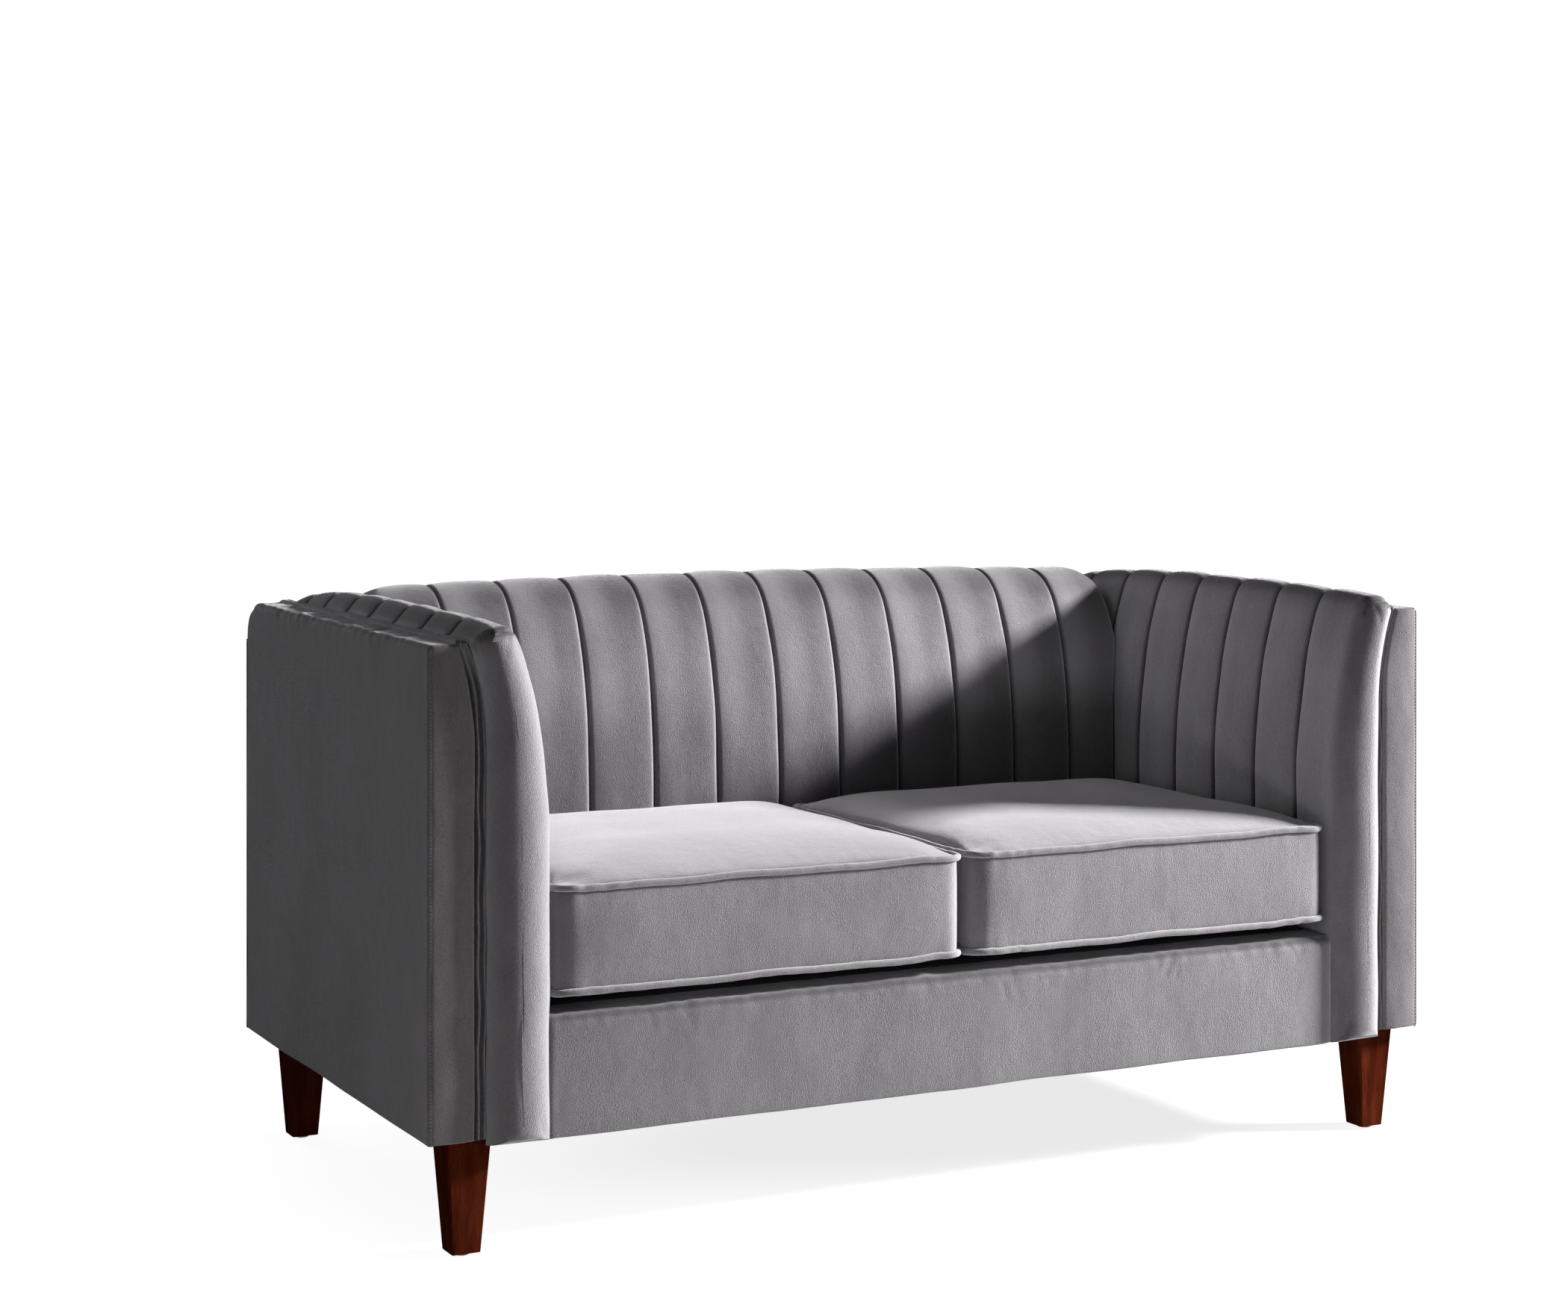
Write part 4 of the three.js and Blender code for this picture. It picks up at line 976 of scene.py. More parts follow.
@dataclass
class ArmCover(Piece):
    """The cloth over an arm's slab: one piece over the side and top, one strip in front."""

    shoulder: float = 9.0
    inner_edge: float = 712.0
    thickness: float = 5.0
    front_edge: float = 3.5
    strip_inner: float = 690.0
    strip_edge: float = 3.2
    strip_crown: float = 2.6
    strip_back: float = 6.0
    rear_end: float = 704.3
    front_stitch: tuple = (4.6, 2.6, 0.75)  # pitch, length and radius
    top_stitch: tuple = (4.6, 2.4, 0.5)

    def side_skin(self) -> Skin:
        """Return the cloth over the side and top, with its round rear corner."""
        radius, edge, r, t = SIZES.rear_radius, self.front_edge, self.shoulder, self.thickness
        mid_y, mid_z = SIZES.body_depth - radius, SIZES.arm_height + SIZES.arm_rise - radius
        flat = np.concatenate([edge * (1 - np.cos(np.linspace(0.2, 1, 5) * math.pi / 2)),
                               np.linspace(7, mid_y, 118)])
        ny, nz = np.sin(quarter(14)), np.cos(quarter(14))
        stations = np.vstack([columns(flat, SIZES.arm_top(flat), 0, 1),
                              columns(mid_y + radius * ny, mid_z + radius * nz, ny, nz),
                              [(mid_y + radius, self.rear_end, 1, 0)]])
        cos, sin = np.cos(quarter(9)), np.sin(quarter(9))
        rings = []
        for y, top, ny, nz in stations:
            inset = rounded_edge(y, edge)
            out, high = SIZES.arm_outer - inset, top - inset
            heights = np.linspace(SIZES.underside, high - nz * r, 100)
            low_edge = np.clip(1 - (heights - SIZES.underside) / 3.0, 0, 1)
            rings.append(np.vstack([
                columns(out - 1.2 * low_edge**2, y - ny * r, heights),
                columns(out - r + r * cos, y - ny * r * (1 - sin), high - nz * r * (1 - sin)),
                columns(np.linspace(out - r, self.inner_edge, 15)[1:], y, high),
                [(self.inner_edge, y - ny * t, high - nz * t),
                 (out - r, y - ny * t, high - nz * t),
                 (out - t, y - ny * r, high - nz * r),
                 (out - t, y - ny * r, SIZES.underside)],
            ]))
        skin = Skin.loft(rings)
        seen = np.tile(np.arange(len(rings[0])) < len(rings[0]) - 4, len(rings))
        p = skin.points
        near_top = ease(p[:, 2], 735, 750) * ease(p[:, 1], 25, 90)
        height = (0.75 * self.seeded(37, 170.0)(p) * ease(p[:, 0], 700, 742)
                  + 1.5 * near_top * self.seeded(31, 26.0)(p * (0.55, 1.6, 0.9)))
        return skin.move(np.where(seen, height, 0.0) * ease(p[:, 1], 0.0, 18.0))

    def strip_skin(self) -> Skin:
        """Return the flat strip down the front of the slab."""
        top = SIZES.arm_height - 1.0
        rim = np.array([0.0, 0.6, 1.6, 3.2])
        heights = np.concatenate([SIZES.underside + rim, np.linspace(153, top - 5, 110),
                                  top - rim[::-1]])
        shares = np.array([0, 0.008, 0.025, 0.055, *np.linspace(0.1, 0.9, 14), 0.945, 0.975,
                           0.992, 1])
        high, back = SIZES.arm_outer - self.front_edge - 0.3, self.strip_back
        arch = self.strip_crown * (1 - (2 * shares - 1) ** 2)
        rings = []
        for z in heights:
            low = self.strip_inner + SIZES.lean(z)
            xs = low + (high - low) * shares
            gap = np.minimum(np.minimum(xs - low, high - xs), min(z - SIZES.underside, top - z))
            rings.append(np.vstack([columns(xs, rounded_edge(gap, self.strip_edge) - arch, z),
                                    [(high, back, z), (low, back, z)]]))
        skin = Skin.loft(rings)
        p = skin.points
        wave = 0.5 * self.seeded(41, 120.0)(p) + 0.22 * self.seeded(43, 24.0)(p * (1, 1, 0.5))
        return skin.move(np.where(p[:, 1] < back / 2, wave, 0.0))

    def dress(self) -> None:
        """Make the cloth pieces and the hand-sewn closing stitches."""
        self.seat(self.side_skin(), "arm_side_cover", ["arm_outside_panel", "arm_top_boxing"],
                  0.9, self.finishes.side)
        self.seat(self.strip_skin(), "arm_front_strip", ["arm_front_facing"], 0.9,
                  self.finishes.side)
        x, high = SIZES.arm_outer - self.front_edge, SIZES.arm_height - 0.8
        rows = [
            stitches([(x, 0.6, SIZES.underside + 4), (x, 0.6, SIZES.arm_height - 6)],
                     (0, -1, 0), *self.front_stitch),
            stitches([(x - 3, 2.0, high), (SIZES.arm_outer - 39, 2.0, high)],
                     (0, -0.5, 0.8), *self.top_stitch),
        ]
        self.seat(merged(rows), "arm_closing_stitches", finish=self.finishes.thread)


@dataclass
class DoubleWelt(Piece):
    """Two covered cords side by side, up the front, along the top and over the rear."""

    cord: float = 4.0
    apart: float = 3.9  # from the pair's middle to the middle of each cord
    turn: float = 6.0
    foot: float = 703.0
    recess: float = 8.0  # how far the cords sit back between the roll and the strip

    def path(self, offset: float) -> Array:
        """Return the middle line of one cord, set off from the pair's middle."""
        r, top = SIZES.rear_radius, SIZES.welt_center + SIZES.top_lean
        heights = np.linspace(SIZES.underside, SIZES.arm_height - self.turn, 150)
        depths = np.linspace(12, SIZES.body_depth - r, 150)
        front, rear = quarter(7), quarter(14)
        line = resample(np.vstack([
            columns(SIZES.welt_center + SIZES.lean(heights), self.recess, heights),
            columns(top, self.recess + (self.turn - self.recess) * (1 - np.cos(front)),
                    SIZES.arm_height - self.turn * (1 - np.sin(front))),
            columns(top, depths, SIZES.arm_top(depths)),
            columns(top, SIZES.body_depth - r + r * np.sin(rear),
                    SIZES.arm_height + SIZES.arm_rise - r + r * np.cos(rear)),
            [(top, SIZES.body_depth, self.foot)],
        ]), 4.0)
        along = np.linspace(0, 1, len(line)) * 1500
        sway = 0.9 * np.sin(along / 17.0 + 1.3) + 0.7 * np.sin(along / 31.0 + self.side.value)
        inset = np.minimum(along, along[::-1])
        line[:, 0] += offset + sway * ease(inset, 0, 60) * 0.8
        line[:, 2] += 0.8 * np.sin(along / 23.0 + offset) * ease(line[:, 2], 746, 750)
        return line

    def dress(self) -> None:
        """Make the pair of cords."""
        cords = []
        for place, offset in enumerate((-self.apart, self.apart)):
            cord = tube(self.path(offset), self.cord, 14)
            cord.lump(51 + place, 14.0, 0.22).lump(57 + place, 60.0, 0.25)
            _, y, z = cord.points.T
            # painted shade on the cords where they sit back in the front recess
            cords.append(cord.mark(ease(y, 22.0, 14.0) * ease(z, 742.0, 700.0)))
        self.seat(merged(cords), "arm_double_welt", ["arm_welt"])


@dataclass
class BackPad(Channelled):
    """The channelled pad of the back, with its rolled crest."""

    pitch: float = 102.0
    crown: float = 5.2
    cut: float = 4.2
    seam_shade_width: float = 3.8
    whole: int = 5  # channels on each side of the middle that are all alike
    reach: float = 612.4
    clearance: float = 1.5
    arch: float = 8.0
    shoulder: float = 13.0
    shoulder_from: float = 550.0
    rail_top: float = 740.0
    rail_front: float = 701.4
    rail_foot: float = 690.0
    lay: tuple = ((0.0, 1.0), (0.25, 0.8), (0.45, 0.35), (0.6, 0.0), (0.75, -0.5), (0.88, -1.0),
                  (1.0, -0.6))  # painted light and shade across each channel: lighter by its left seam, darker towards its right one
    painted_shade_heights: tuple = (640, 450)  # heights between which painted shade darkens the pad downwards
    face: tuple = (
        (0, 0), (-0.007, 0.11), (-0.01, 0.22), (-0.01, 0.42), (0.01, 0.56), (0.045, 0.67),
        (0.098, 0.772), (0.17, 0.852), (0.255, 0.918), (0.35, 0.962), (0.45, 0.988), (0.56, 1),
        (0.68, 0.997), (0.8, 0.983), (0.91, 0.962), (0.985, 0.936),
    )

    def skin(self) -> Skin:
        """Return the pad's surface."""
        bottom = SIZES.deck + 0.3
        extent = (SIZES.timber_rear - SIZES.back_face, SIZES.back_height - bottom)
        seen = smooth_path(np.array(self.face) * extent + (SIZES.back_face, bottom), 5.0)
        rest = self.rail_top + 0.3
        hidden = [(SIZES.timber_rear, rest), (self.rail_front, rest),
                  (self.rail_front, self.rail_foot), (SIZES.seat_rear, bottom)]
        section = np.vstack([seen, hidden])
        y, z = section.T
        slope = unit(np.gradient(section, axis=0))
        face = np.arange(len(section)) < len(seen)
        up = np.where(face, (z - bottom) / extent[1], 0.0)
        limit = self.limit(z)
        last = self.whole * self.pitch
        places = both_ways(np.concatenate([
            *(bunched(k * self.pitch, (k + 1) * self.pitch, 26) for k in range(self.whole)),
            bunched(last, self.reach, 24, 0.7), [self.reach],
        ]))
        rings = []
        for place in places:
            size = abs(place)
            near = self.near(size) if size <= last + self.pitch / 2 else self.reach - size
            sunk = np.where(face, self.relief(near), 0.0) * ease(up, 0.0, 0.03)
            sunk = sunk * (1 - 0.4 * ease(up, 0.78, 1.0))
            spread = np.clip((size - last) / (self.reach - last), 0, 1)
            beyond = max(0.0, size - self.shoulder_from) / (self.reach - self.shoulder_from)
            drop = self.arch * (place / SIZES.seat_half) ** 2 + self.shoulder * beyond**2.2
            pz = z - sunk * slope[:, 0] - drop * up**4
            over_rail = face & (y > self.rail_front)
            rings.append(columns(np.sign(place) * (size + (limit - self.reach) * spread),
                                 y + sunk * slope[:, 1],
                                 np.where(over_rail, np.maximum(pz, self.rail_top + 3.0), pz)))
        skin = Skin.loft(rings)
        xs, _, zs = skin.points.T
        is_seam = np.tile(face, len(places)) & (np.abs(xs) < last + self.pitch / 2)
        across = np.mod(xs / self.pitch, 1.0)
        # Painted light and shade across the channels, and painted shade low on the pad and along
        # its seams.
        skin.lay = np.interp(across, *np.array(self.lay).T) - 0.9 * ease(zs, *self.painted_shade_heights)
        return skin.mark(np.where(is_seam, bell(self.near(np.abs(xs)), self.seam_shade_width), 0.0))

    def limit(self, z: Array) -> Array:
        """Return how far the pad reaches to the side at each height, up to the arm's face."""
        across, up = np.array([row for row in ArmPad.face if row[0] <= 0.86]).T
        rise = SIZES.pad_height - SIZES.skirt_bottom
        heights = SIZES.skirt_bottom + up * rise + SIZES.arm_rise * up**4
        reach = np.interp(z, heights, SIZES.arm_inner + across * SIZES.pad_thickness)
        return np.minimum(reach, self.reach) - self.clearance

    def dress(self) -> None:
        """Make the pad."""
        skin = self.skin().lump(61, 110.0, 0.9)
        self.seat(skin, "back_channelled_pad", ["back_inner_pad"], 0.85)


@dataclass
class Apron(Piece):
    """The cloth-covered rail under the cushions."""

    roll: float = 14.0
    droop: float = 9.0
    bulge: float = 3.0
    foot: float = 252.0
    depth: float = 60.0
    end_edge: float = 6.0
    corner_pulls: tuple = (20, 46, 70, 520, 548, 570)

    def skin(self) -> Skin:
        """Return the apron's surface."""
        low, half = SIZES.underside - self.droop, SIZES.seat_half
        curve = [(6.0, low + 1.5), (2.5, low), (-1.6, low + 2.0), (-self.bulge, low + 8.0)]
        turn = np.linspace(0, math.pi / 2, 12)
        arc = columns(-self.bulge + self.roll * (1 - np.cos(turn)),
                      SIZES.deck - self.roll * (1 - np.sin(turn)))
        seen = np.vstack([
            smooth_path(curve, 1.2), resample(np.array([curve[-1], arc[0]]), 4.0)[1:-1], arc,
            resample(np.array([arc[-1], (self.depth, SIZES.deck)]), 6.0)[1:],
        ])
        section = np.vstack([seen, [(self.depth, self.foot), (8.0, self.foot)]])
        in_sight = np.arange(len(section)) < len(seen)
        ends = np.array([0, 0.8, 2.2, 4.5])
        places = np.concatenate([-half + ends, np.linspace(-half + 9, half - 9, 236),
                                 half - ends[::-1]])
        rings = []
        for x in places:
            gap = min(half - abs(x), self.end_edge)
            inset = 2.4 * (1 - gap / self.end_edge) ** 2
            rings.append(columns(x, section[:, 0] + inset * in_sight, section[:, 1]))
        skin = Skin.loft(rings)
        p = skin.points
        wave = 0.8 * Ripple(71, 150.0)(p * (1, 1, 0.6)) + 0.14 * Ripple(73, 30.0)(p * (1, 1, 0.4))
        edge = 0.7 * Ripple(75, 22.0)(p * (1.2, 0.4, 0.3)) * ease(p[:, 2], 262, 284)
        seen = np.tile(in_sight, len(places))
        return skin.move(np.where(seen, wave + edge, 0.0) * ease(half - np.abs(p[:, 0]), 0, 12))

    def dress(self) -> None:
        """Make the apron with the small pulls along its rolled edge."""
        skin = self.skin()
        draw = np.random.default_rng(77)
        for x in (*draw.uniform(-560, 560, 16), *self.corner_pulls):
            drop, lean = draw.uniform(14, 34), draw.uniform(-16, 16)
            skin.press([(x, -2, 285), (x + lean, -3, 285 - drop)], draw.uniform(0.3, 0.8), 2.6)
        self.seat(skin, "front_apron_cover", ["front_apron"], 0.7)


@dataclass
class OutsideBack(Piece):
    """The flat cloth over the rear, sewn down by hand along its edges."""

    wing_top: float = 704.0
    middle_half: float = 695.4
    top: float = 747.8
    edge: float = 3.4
    thickness: float = 6.5
    stitch: tuple = (6.0, 2.8, 0.55)  # pitch, length and radius

    def place(self, x: Array, z: Array) -> tuple[Array, Array]:
        """Return both faces of the panel at places across and up."""
        top = np.where(np.abs(x) > self.middle_half, self.wing_top, self.top)
        side = SIZES.arm_outer - np.abs(x)
        foot = z - SIZES.underside
        step = np.where(z > self.wing_top - 1, self.middle_half - np.abs(x), 99.0)
        gap = np.minimum.reduce([side, np.maximum(step, 0), top - z, foot])
        p = columns(x, 500.0, z)
        wave = 0.8 * Ripple(81, 210.0)(p) + 0.35 * Ripple(83, 60.0)(p * (1, 1, 0.3))
        stuffing = (wave - 0.6) * ease(np.minimum(side, foot), 0, 45)
        return (columns(x, SIZES.body_depth - rounded_edge(gap, self.edge) + stuffing, z),
                columns(x, SIZES.body_depth - self.thickness, z))

    def keep(self, x: float, z: float) -> bool:
        """Say whether a cell belongs to the panel."""
        return abs(x) < self.middle_half or z < self.wing_top

    def dress(self) -> None:
        """Make the panel and its closing stitches."""
        fine = np.array([0, 0.5, 1.4, 2.8, 4.6])
        xs = both_ways(np.concatenate([
            np.linspace(0, 685, 70), self.middle_half - fine[::-1],
            self.middle_half + 4 + np.linspace(0, 38, 6), SIZES.arm_outer - fine[::-1],
        ]))
        zs = np.concatenate([SIZES.underside + fine, np.linspace(160, 692, 66),
                             self.wing_top - fine[::-1], np.linspace(712, 738, 4),
                             self.top - fine[::-1]])
        self.seat(masked_slab(xs, zs, self.keep, self.place), "outside_back_cover",
                  ["back_outside_panel"], 0.9)
        y, side, high = SIZES.body_depth - 1.6, SIZES.arm_outer - 1.2, self.top - 1.0
        rows = [stitches([(start[0], y, start[1]), (end[0], y, end[1])], out, *self.stitch)
                for start, end, out in (
                    ((-side, 151), (-side, 700), (-0.6, 0.8, 0)),
                    ((side, 151), (side, 700), (0.6, 0.8, 0)),
                    ((-690, high), (690, high), (0, 0.8, 0.6)))]
        self.seat(merged(rows), "outside_back_stitches", finish=self.finishes.thread)


@dataclass
class Linings(Piece):
    """The deck cloth under the cushions and the dust cover under the frame."""

    thickness: float = 1.0
    deck_front: float = 60.3
    dust_front: float = 8.3
    dust_height: float = 147.9
    reach: float = 741.7
    notch: float = 655.5
    notch_front: float = 81.0
    notch_rear: float = 651.5
    staple_reach: float = 5.0  # half of a staple's length
    staple_legs: float = 1.2
    staple_wire: float = 0.45

    def deck_place(self, x: Array, y: Array) -> tuple[Array, Array]:
        """Return both faces of the deck cloth."""
        gap = np.minimum.reduce([SIZES.seat_half - np.abs(x), y - self.deck_front,
                                 SIZES.seat_rear - y])
        top = SIZES.deck - 0.1 - 1.1 * ease(gap, 0, 120)
        return columns(x, y, top), columns(x, y, top - self.thickness)

    def dust_place(self, x: Array, y: Array) -> tuple[Array, Array]:
        """Return both faces of the dust cover."""
        gap = np.minimum.reduce([self.reach - np.abs(x), y - self.dust_front,
                                 SIZES.timber_rear - y])
        sag = (0.9 + 0.5 * Ripple(91, 160.0)(columns(x, y, 0.0))) * ease(gap, 12, 90)
        low = self.dust_height - np.clip(sag, 0, 1.6) + 0.5
        return columns(x, y, low + self.thickness), columns(x, y, low)

    def dust_keep(self, x: float, y: float) -> bool:
        """Say whether a cell belongs to the dust cover, which is cut out round the legs."""
        return abs(x) < self.notch or self.notch_front < y < self.notch_rear

    def cloth(self, skin: Skin, name: str, replaced: str) -> bpy.types.Object:
        """Return a piece of lining cloth."""
        return self.seat(skin, name, [replaced], finish=self.finishes.lining,
                         slot=Slot.LINING)

    def dress(self) -> None:
        """Make the stretched deck cloth, and the dust cover with its staples."""
        half, deep = SIZES.seat_half, SIZES.seat_rear - self.deck_front
        skin = masked_slab(np.linspace(-half, half, 100),
                           np.linspace(self.deck_front, SIZES.seat_rear, 46),
                           lambda x, y: True, self.deck_place)
        piece = self.cloth(skin, "seat_deck_cloth", "seat_deck_cover")
        xs = both_ways(np.concatenate([np.linspace(self.notch, 0, 60)[::-1],
                                       np.linspace(self.notch, self.reach, 9)[1:]]))
        ys = np.concatenate([np.linspace(self.dust_front, self.notch_front, 8)[:-1],
                             np.linspace(self.notch_front, self.notch_rear, 54),
                             np.linspace(self.notch_rear, SIZES.timber_rear, 10)[1:]])
        skin = masked_slab(xs, ys, self.dust_keep, self.dust_place)
        piece = self.cloth(skin, "under_dust_cloth", "dust_cover")
        self.staples()

    def staples(self) -> None:
        """Make the staples along the dust cover's edges."""
        along, back = (self.staple_reach, 0, 0), (0, self.staple_reach, 0)
        spots = [(x, y, along) for y in (16.0, SIZES.timber_rear - 9)
                 for x in range(-630, 640, 35)]
        spots += [(way * (self.reach - 9), y, back) for way in (-1, 1)
                  for y in range(100, 640, 36)]
        wires = []
        for x, y, run in spots:
            steps = np.array([-1, -1, 0, 1, 1])[:, None] * run
            legs = np.array([1, 0, 0, 0, 1])[:, None] * (0, 0, self.staple_legs)
            middle = (x, y, self.dust_height - 0.2)
            wires.append(tube(middle + steps + legs, self.staple_wire, 6))
        self.seat(merged(wires), "dust_cloth_staples", finish=self.finishes.steel,
                  slot=Slot.STEEL)


@dataclass
class SeatCushion(Piece):
    """A loose boxed cushion: a stuffed cover, two piped edges and a zip at the rear."""

    half_width: float = 292.625
    half_depth: float = 266.5
    middle_x: float = 295.625
    middle_y: float = 262.5
    low_seam: float = 315.0
    high_seam: float = 443.0
    corner: float = 26.0
    draw_in: float = 4.5
    belly: float = 289.8
    crown: float = 478.0
    piping: float = 4.5
    steps: int = 20
    cells: tuple[int, int, int] = (64, 60, 15)
    dimples: tuple = ((5.0, 3.0), (2.5, 3.5))  # at each front corner, left cushion first
    seam_shade: float = 0.8
    seam_shade_width: float = 6.0
    furthest: float = 14.0  # how far the stuffing may move the cloth
    evened: tuple = (4, 0.8)  # points to either side and share, see stuffed
    zip_half: float = 250.0
    zip_height: float = 379.0
    tooth_pitch: float = 2.2
    tooth: float = 0.85
    cloth: tuple = (
        ("quality", 6), ("mass", 0.25), ("tension_stiffness", 12),
        ("compression_stiffness", 12), ("shear_stiffness", 4), ("bending_stiffness", 0.4),
        ("use_pressure", True), ("uniform_pressure_force", 4.0), ("shrink_min", -0.002),
        ("vertex_group_mass", "sewn"),
    )

    @property
    def body(self) -> str:
        """Return the body that the cushion's pieces ride on."""
        return self.named("cushion")

    def middle(self) -> Array:
        """Return the plan place of the cushion's middle."""
        return np.array([self.side.value * self.middle_x, self.middle_y, 0.0])

    def rounded(self, shares: Array) -> Array:
        """Return the plan places of square shares from -1 to 1, with the corners rounded."""
        half = np.array([self.half_width - self.piping, self.half_depth])
        out = np.abs(shares * half)
        over = np.clip((out - half + self.corner) / self.corner, 0, 1)
        turned = self.corner * over * np.sqrt(1 - over[:, ::-1] ** 2 / 2)
        out = np.minimum(out, half - self.corner) + turned
        pull = self.draw_in * np.abs(shares) ** 12 * np.cos(shares[:, ::-1] * math.pi / 2)
        pull[:, 1] *= shares[:, 1] < 0
        return np.sign(shares) * (out - pull)

    def cage(self) -> tuple[Skin, Array, Array]:
        """Return the cover before it is stuffed, and its low and high seam loops."""
        nx, ny, nz = self.cells
        grid = np.meshgrid(np.linspace(-1, 1, nx + 1), np.linspace(-1, 1, ny + 1), indexing="ij")
        shares = np.stack(grid, -1).reshape(-1, 2)
        x, y = self.rounded(shares).T
        edge = 1 - np.abs(shares).max(axis=1)
        puff = 1 + 17 * (1 - (1 - np.clip(edge * 2.2, 0, 1)) ** 2.6)
        index = np.arange((nx + 1) * (ny + 1)).reshape(nx + 1, ny + 1)
        count = index.size
        loop = np.concatenate([index[:-1, 0], index[-1, :-1], index[:0:-1, -1], index[0, :0:-1]])
        cells = np.stack([index[:-1, :-1], index[1:, :-1], index[1:, 1:], index[:-1, 1:]], -1)
        cells = cells.reshape(-1, 4)
        levels = np.linspace(self.low_seam, self.high_seam, nz + 1)[1:-1]
        border = [columns(x[loop], y[loop], z) for z in levels]
        rows = [loop, *(2 * count + k * len(loop) + np.arange(len(loop))
                        for k in range(nz - 1)), loop + count]
        walls = [np.stack([low, np.roll(low, -1), np.roll(high, -1), high], -1)
                 for low, high in zip(rows[:-1], rows[1:])]
        points = [columns(x, y, self.low_seam - puff), columns(x, y, self.high_seam + puff)]
        faces = [cells[:, ::-1], cells + count, np.vstack(walls)]
        skin = Skin(np.vstack([*points, *border]), faces).outward()
        skin.points[loop, 2] = self.low_seam
        skin.points[loop + count, 2] = self.high_seam
        return skin, loop, loop + count

    def stuffed(self, skin: Skin, sewn: Array) -> None:
        """Blow the cover up against its sewn edges, by cloth simulation.

        Args:
            skin: The cover, which is changed.
            sewn: The points on its piped edges.
        """
        scene = bpy.context.scene
        mesh = bpy.data.meshes.new("cover_pattern")
        mesh.from_pydata((skin.points * MM).tolist(), [],
                         [f for g in skin.faces for f in g.tolist()])
        cover = linked("cover_pattern", mesh)
        cover.vertex_groups.new(name="sewn").add(sewn.tolist(), 1.0, "REPLACE")
        cloth = cover.modifiers.new("stuffing", "CLOTH")
        for key, value in self.cloth:
            setattr(cloth.settings, key, value)
        cloth.settings.effector_weights.gravity = 0.0
        cloth.collision_settings.use_self_collision = False
        cloth.point_cache.frame_start = 1
        cloth.point_cache.frame_end = self.steps
        for step in range(1, self.steps + 1):
            scene.frame_set(step)
        result = cover.evaluated_get(bpy.context.evaluated_depsgraph_get())
        settled = np.empty(len(skin.points) * 3)
        result.to_mesh().vertices.foreach_get("co", settled)
        result.to_mesh_clear()
        bpy.data.objects.remove(cover)
        scene.frame_set(1)
        moved = settled.reshape(-1, 3) / MM - skin.points
        around = len(sewn) // 2
        border = moved[-(self.cells[2] - 1) * around:].reshape(-1, around, 3)
        beside, share = self.evened  # without this, upright streaks stay in the border
        shifts = range(-beside, beside + 1)
        even = sum(np.roll(border, shift, axis=1) for shift in shifts) / len(shifts)
        border += (even - border) * share
        reach = np.linalg.norm(moved, axis=1, keepdims=True)
        skin.points += moved * np.minimum(1, self.furthest / np.maximum(reach, 1e-6))

    def fitted(self, skin: Skin) -> None:
        """Keep the stuffed cover in its place on the deck, with the real one's crown."""
        p = skin.points
        x, y, z = p.T
        edge_x = np.clip(np.abs(x) / self.half_width, 0, 1)
        edge_y = np.clip(np.abs(y) / self.half_depth, 0, 1)
        level = self.high_seam + (self.crown - self.high_seam) * (1 - edge_x**7) * (1 - edge_y**6)
        wave = self.seeded(101, 150.0)(p) * 1.2
        settled = 0.55 * level + 0.45 * np.minimum(z, self.crown + 4) + wave
        above = z > self.high_seam + 0.5
        z[:] = np.maximum(np.where(above, np.minimum(settled, self.crown + 3), z), self.belly)
        x[:] = np.clip(x, -self.half_width - 0.6, self.half_width + 0.6)
        y[:] = np.clip(y, -self.half_depth - 9.0, self.half_depth + 3.6)

    def creases(self, skin: Skin) -> None:
        """Draw the cloth in beside the piped edges, with short pulls at the corners."""
        p = skin.points
        half = self.half_width - self.piping
        pulls = self.seeded(111, 17.0)(p * (1.0, 1.0, 0.25))
        near = sum(np.exp(-np.abs(p[:, 2] - seam) / 16) for seam in (self.high_seam, self.low_seam))
        corner = ease(np.abs(p[:, 0]) / half + np.abs(p[:, 1]) / self.half_depth, 1.5, 1.95)
        skin.move(pulls * near * (0.35 + 1.3 * corner))
        for way, deep in zip((-1, 1), self.dimples[self.side is Side.RIGHT]):
            spot = (way * (half - 26), 24 - self.half_depth, self.high_seam + 9)
            skin.move(-deep * bell(np.linalg.norm(p - spot, axis=1), 22))

    def dress(self) -> None:
        """Make the cover, its piping and its zip."""
        skin, low, high = self.cage()
        z = skin.points[:, 2]
        # painted shade on the border beside the piped edges
        beside = np.minimum(np.abs(z - self.low_seam), np.abs(z - self.high_seam))
        in_border = (z >= self.low_seam) & (z <= self.high_seam)
        shade = np.where(in_border, self.seam_shade * bell(beside, self.seam_shade_width), 0.0)
        self.stuffed(skin, np.concatenate([low, high]))
        self.fitted(skin)
        self.creases(skin)
        skin.mark(shade)
        loops = [skin.points[low], skin.points[high]]
        skin.points += self.middle()
        piece = self.seat(skin, "cushion_cover", ["seat_cushion"], 0.85, self.finishes.cushion)
        self.divide(piece)
        self.pipe(loops)
        self.zip()

    @staticmethod
    def divide(piece: bpy.types.Object) -> None:
        """Divide the cover's faces once."""
        smoother = piece.modifiers.new("finer", "SUBSURF")
        smoother.levels = smoother.render_levels = 1
        smoother.boundary_smooth = "PRESERVE_CORNERS"
        bpy.context.view_layer.objects.active = piece
        with bpy.context.temp_override(object=piece, active_object=piece):
            bpy.ops.object.modifier_apply(modifier=smoother.name)

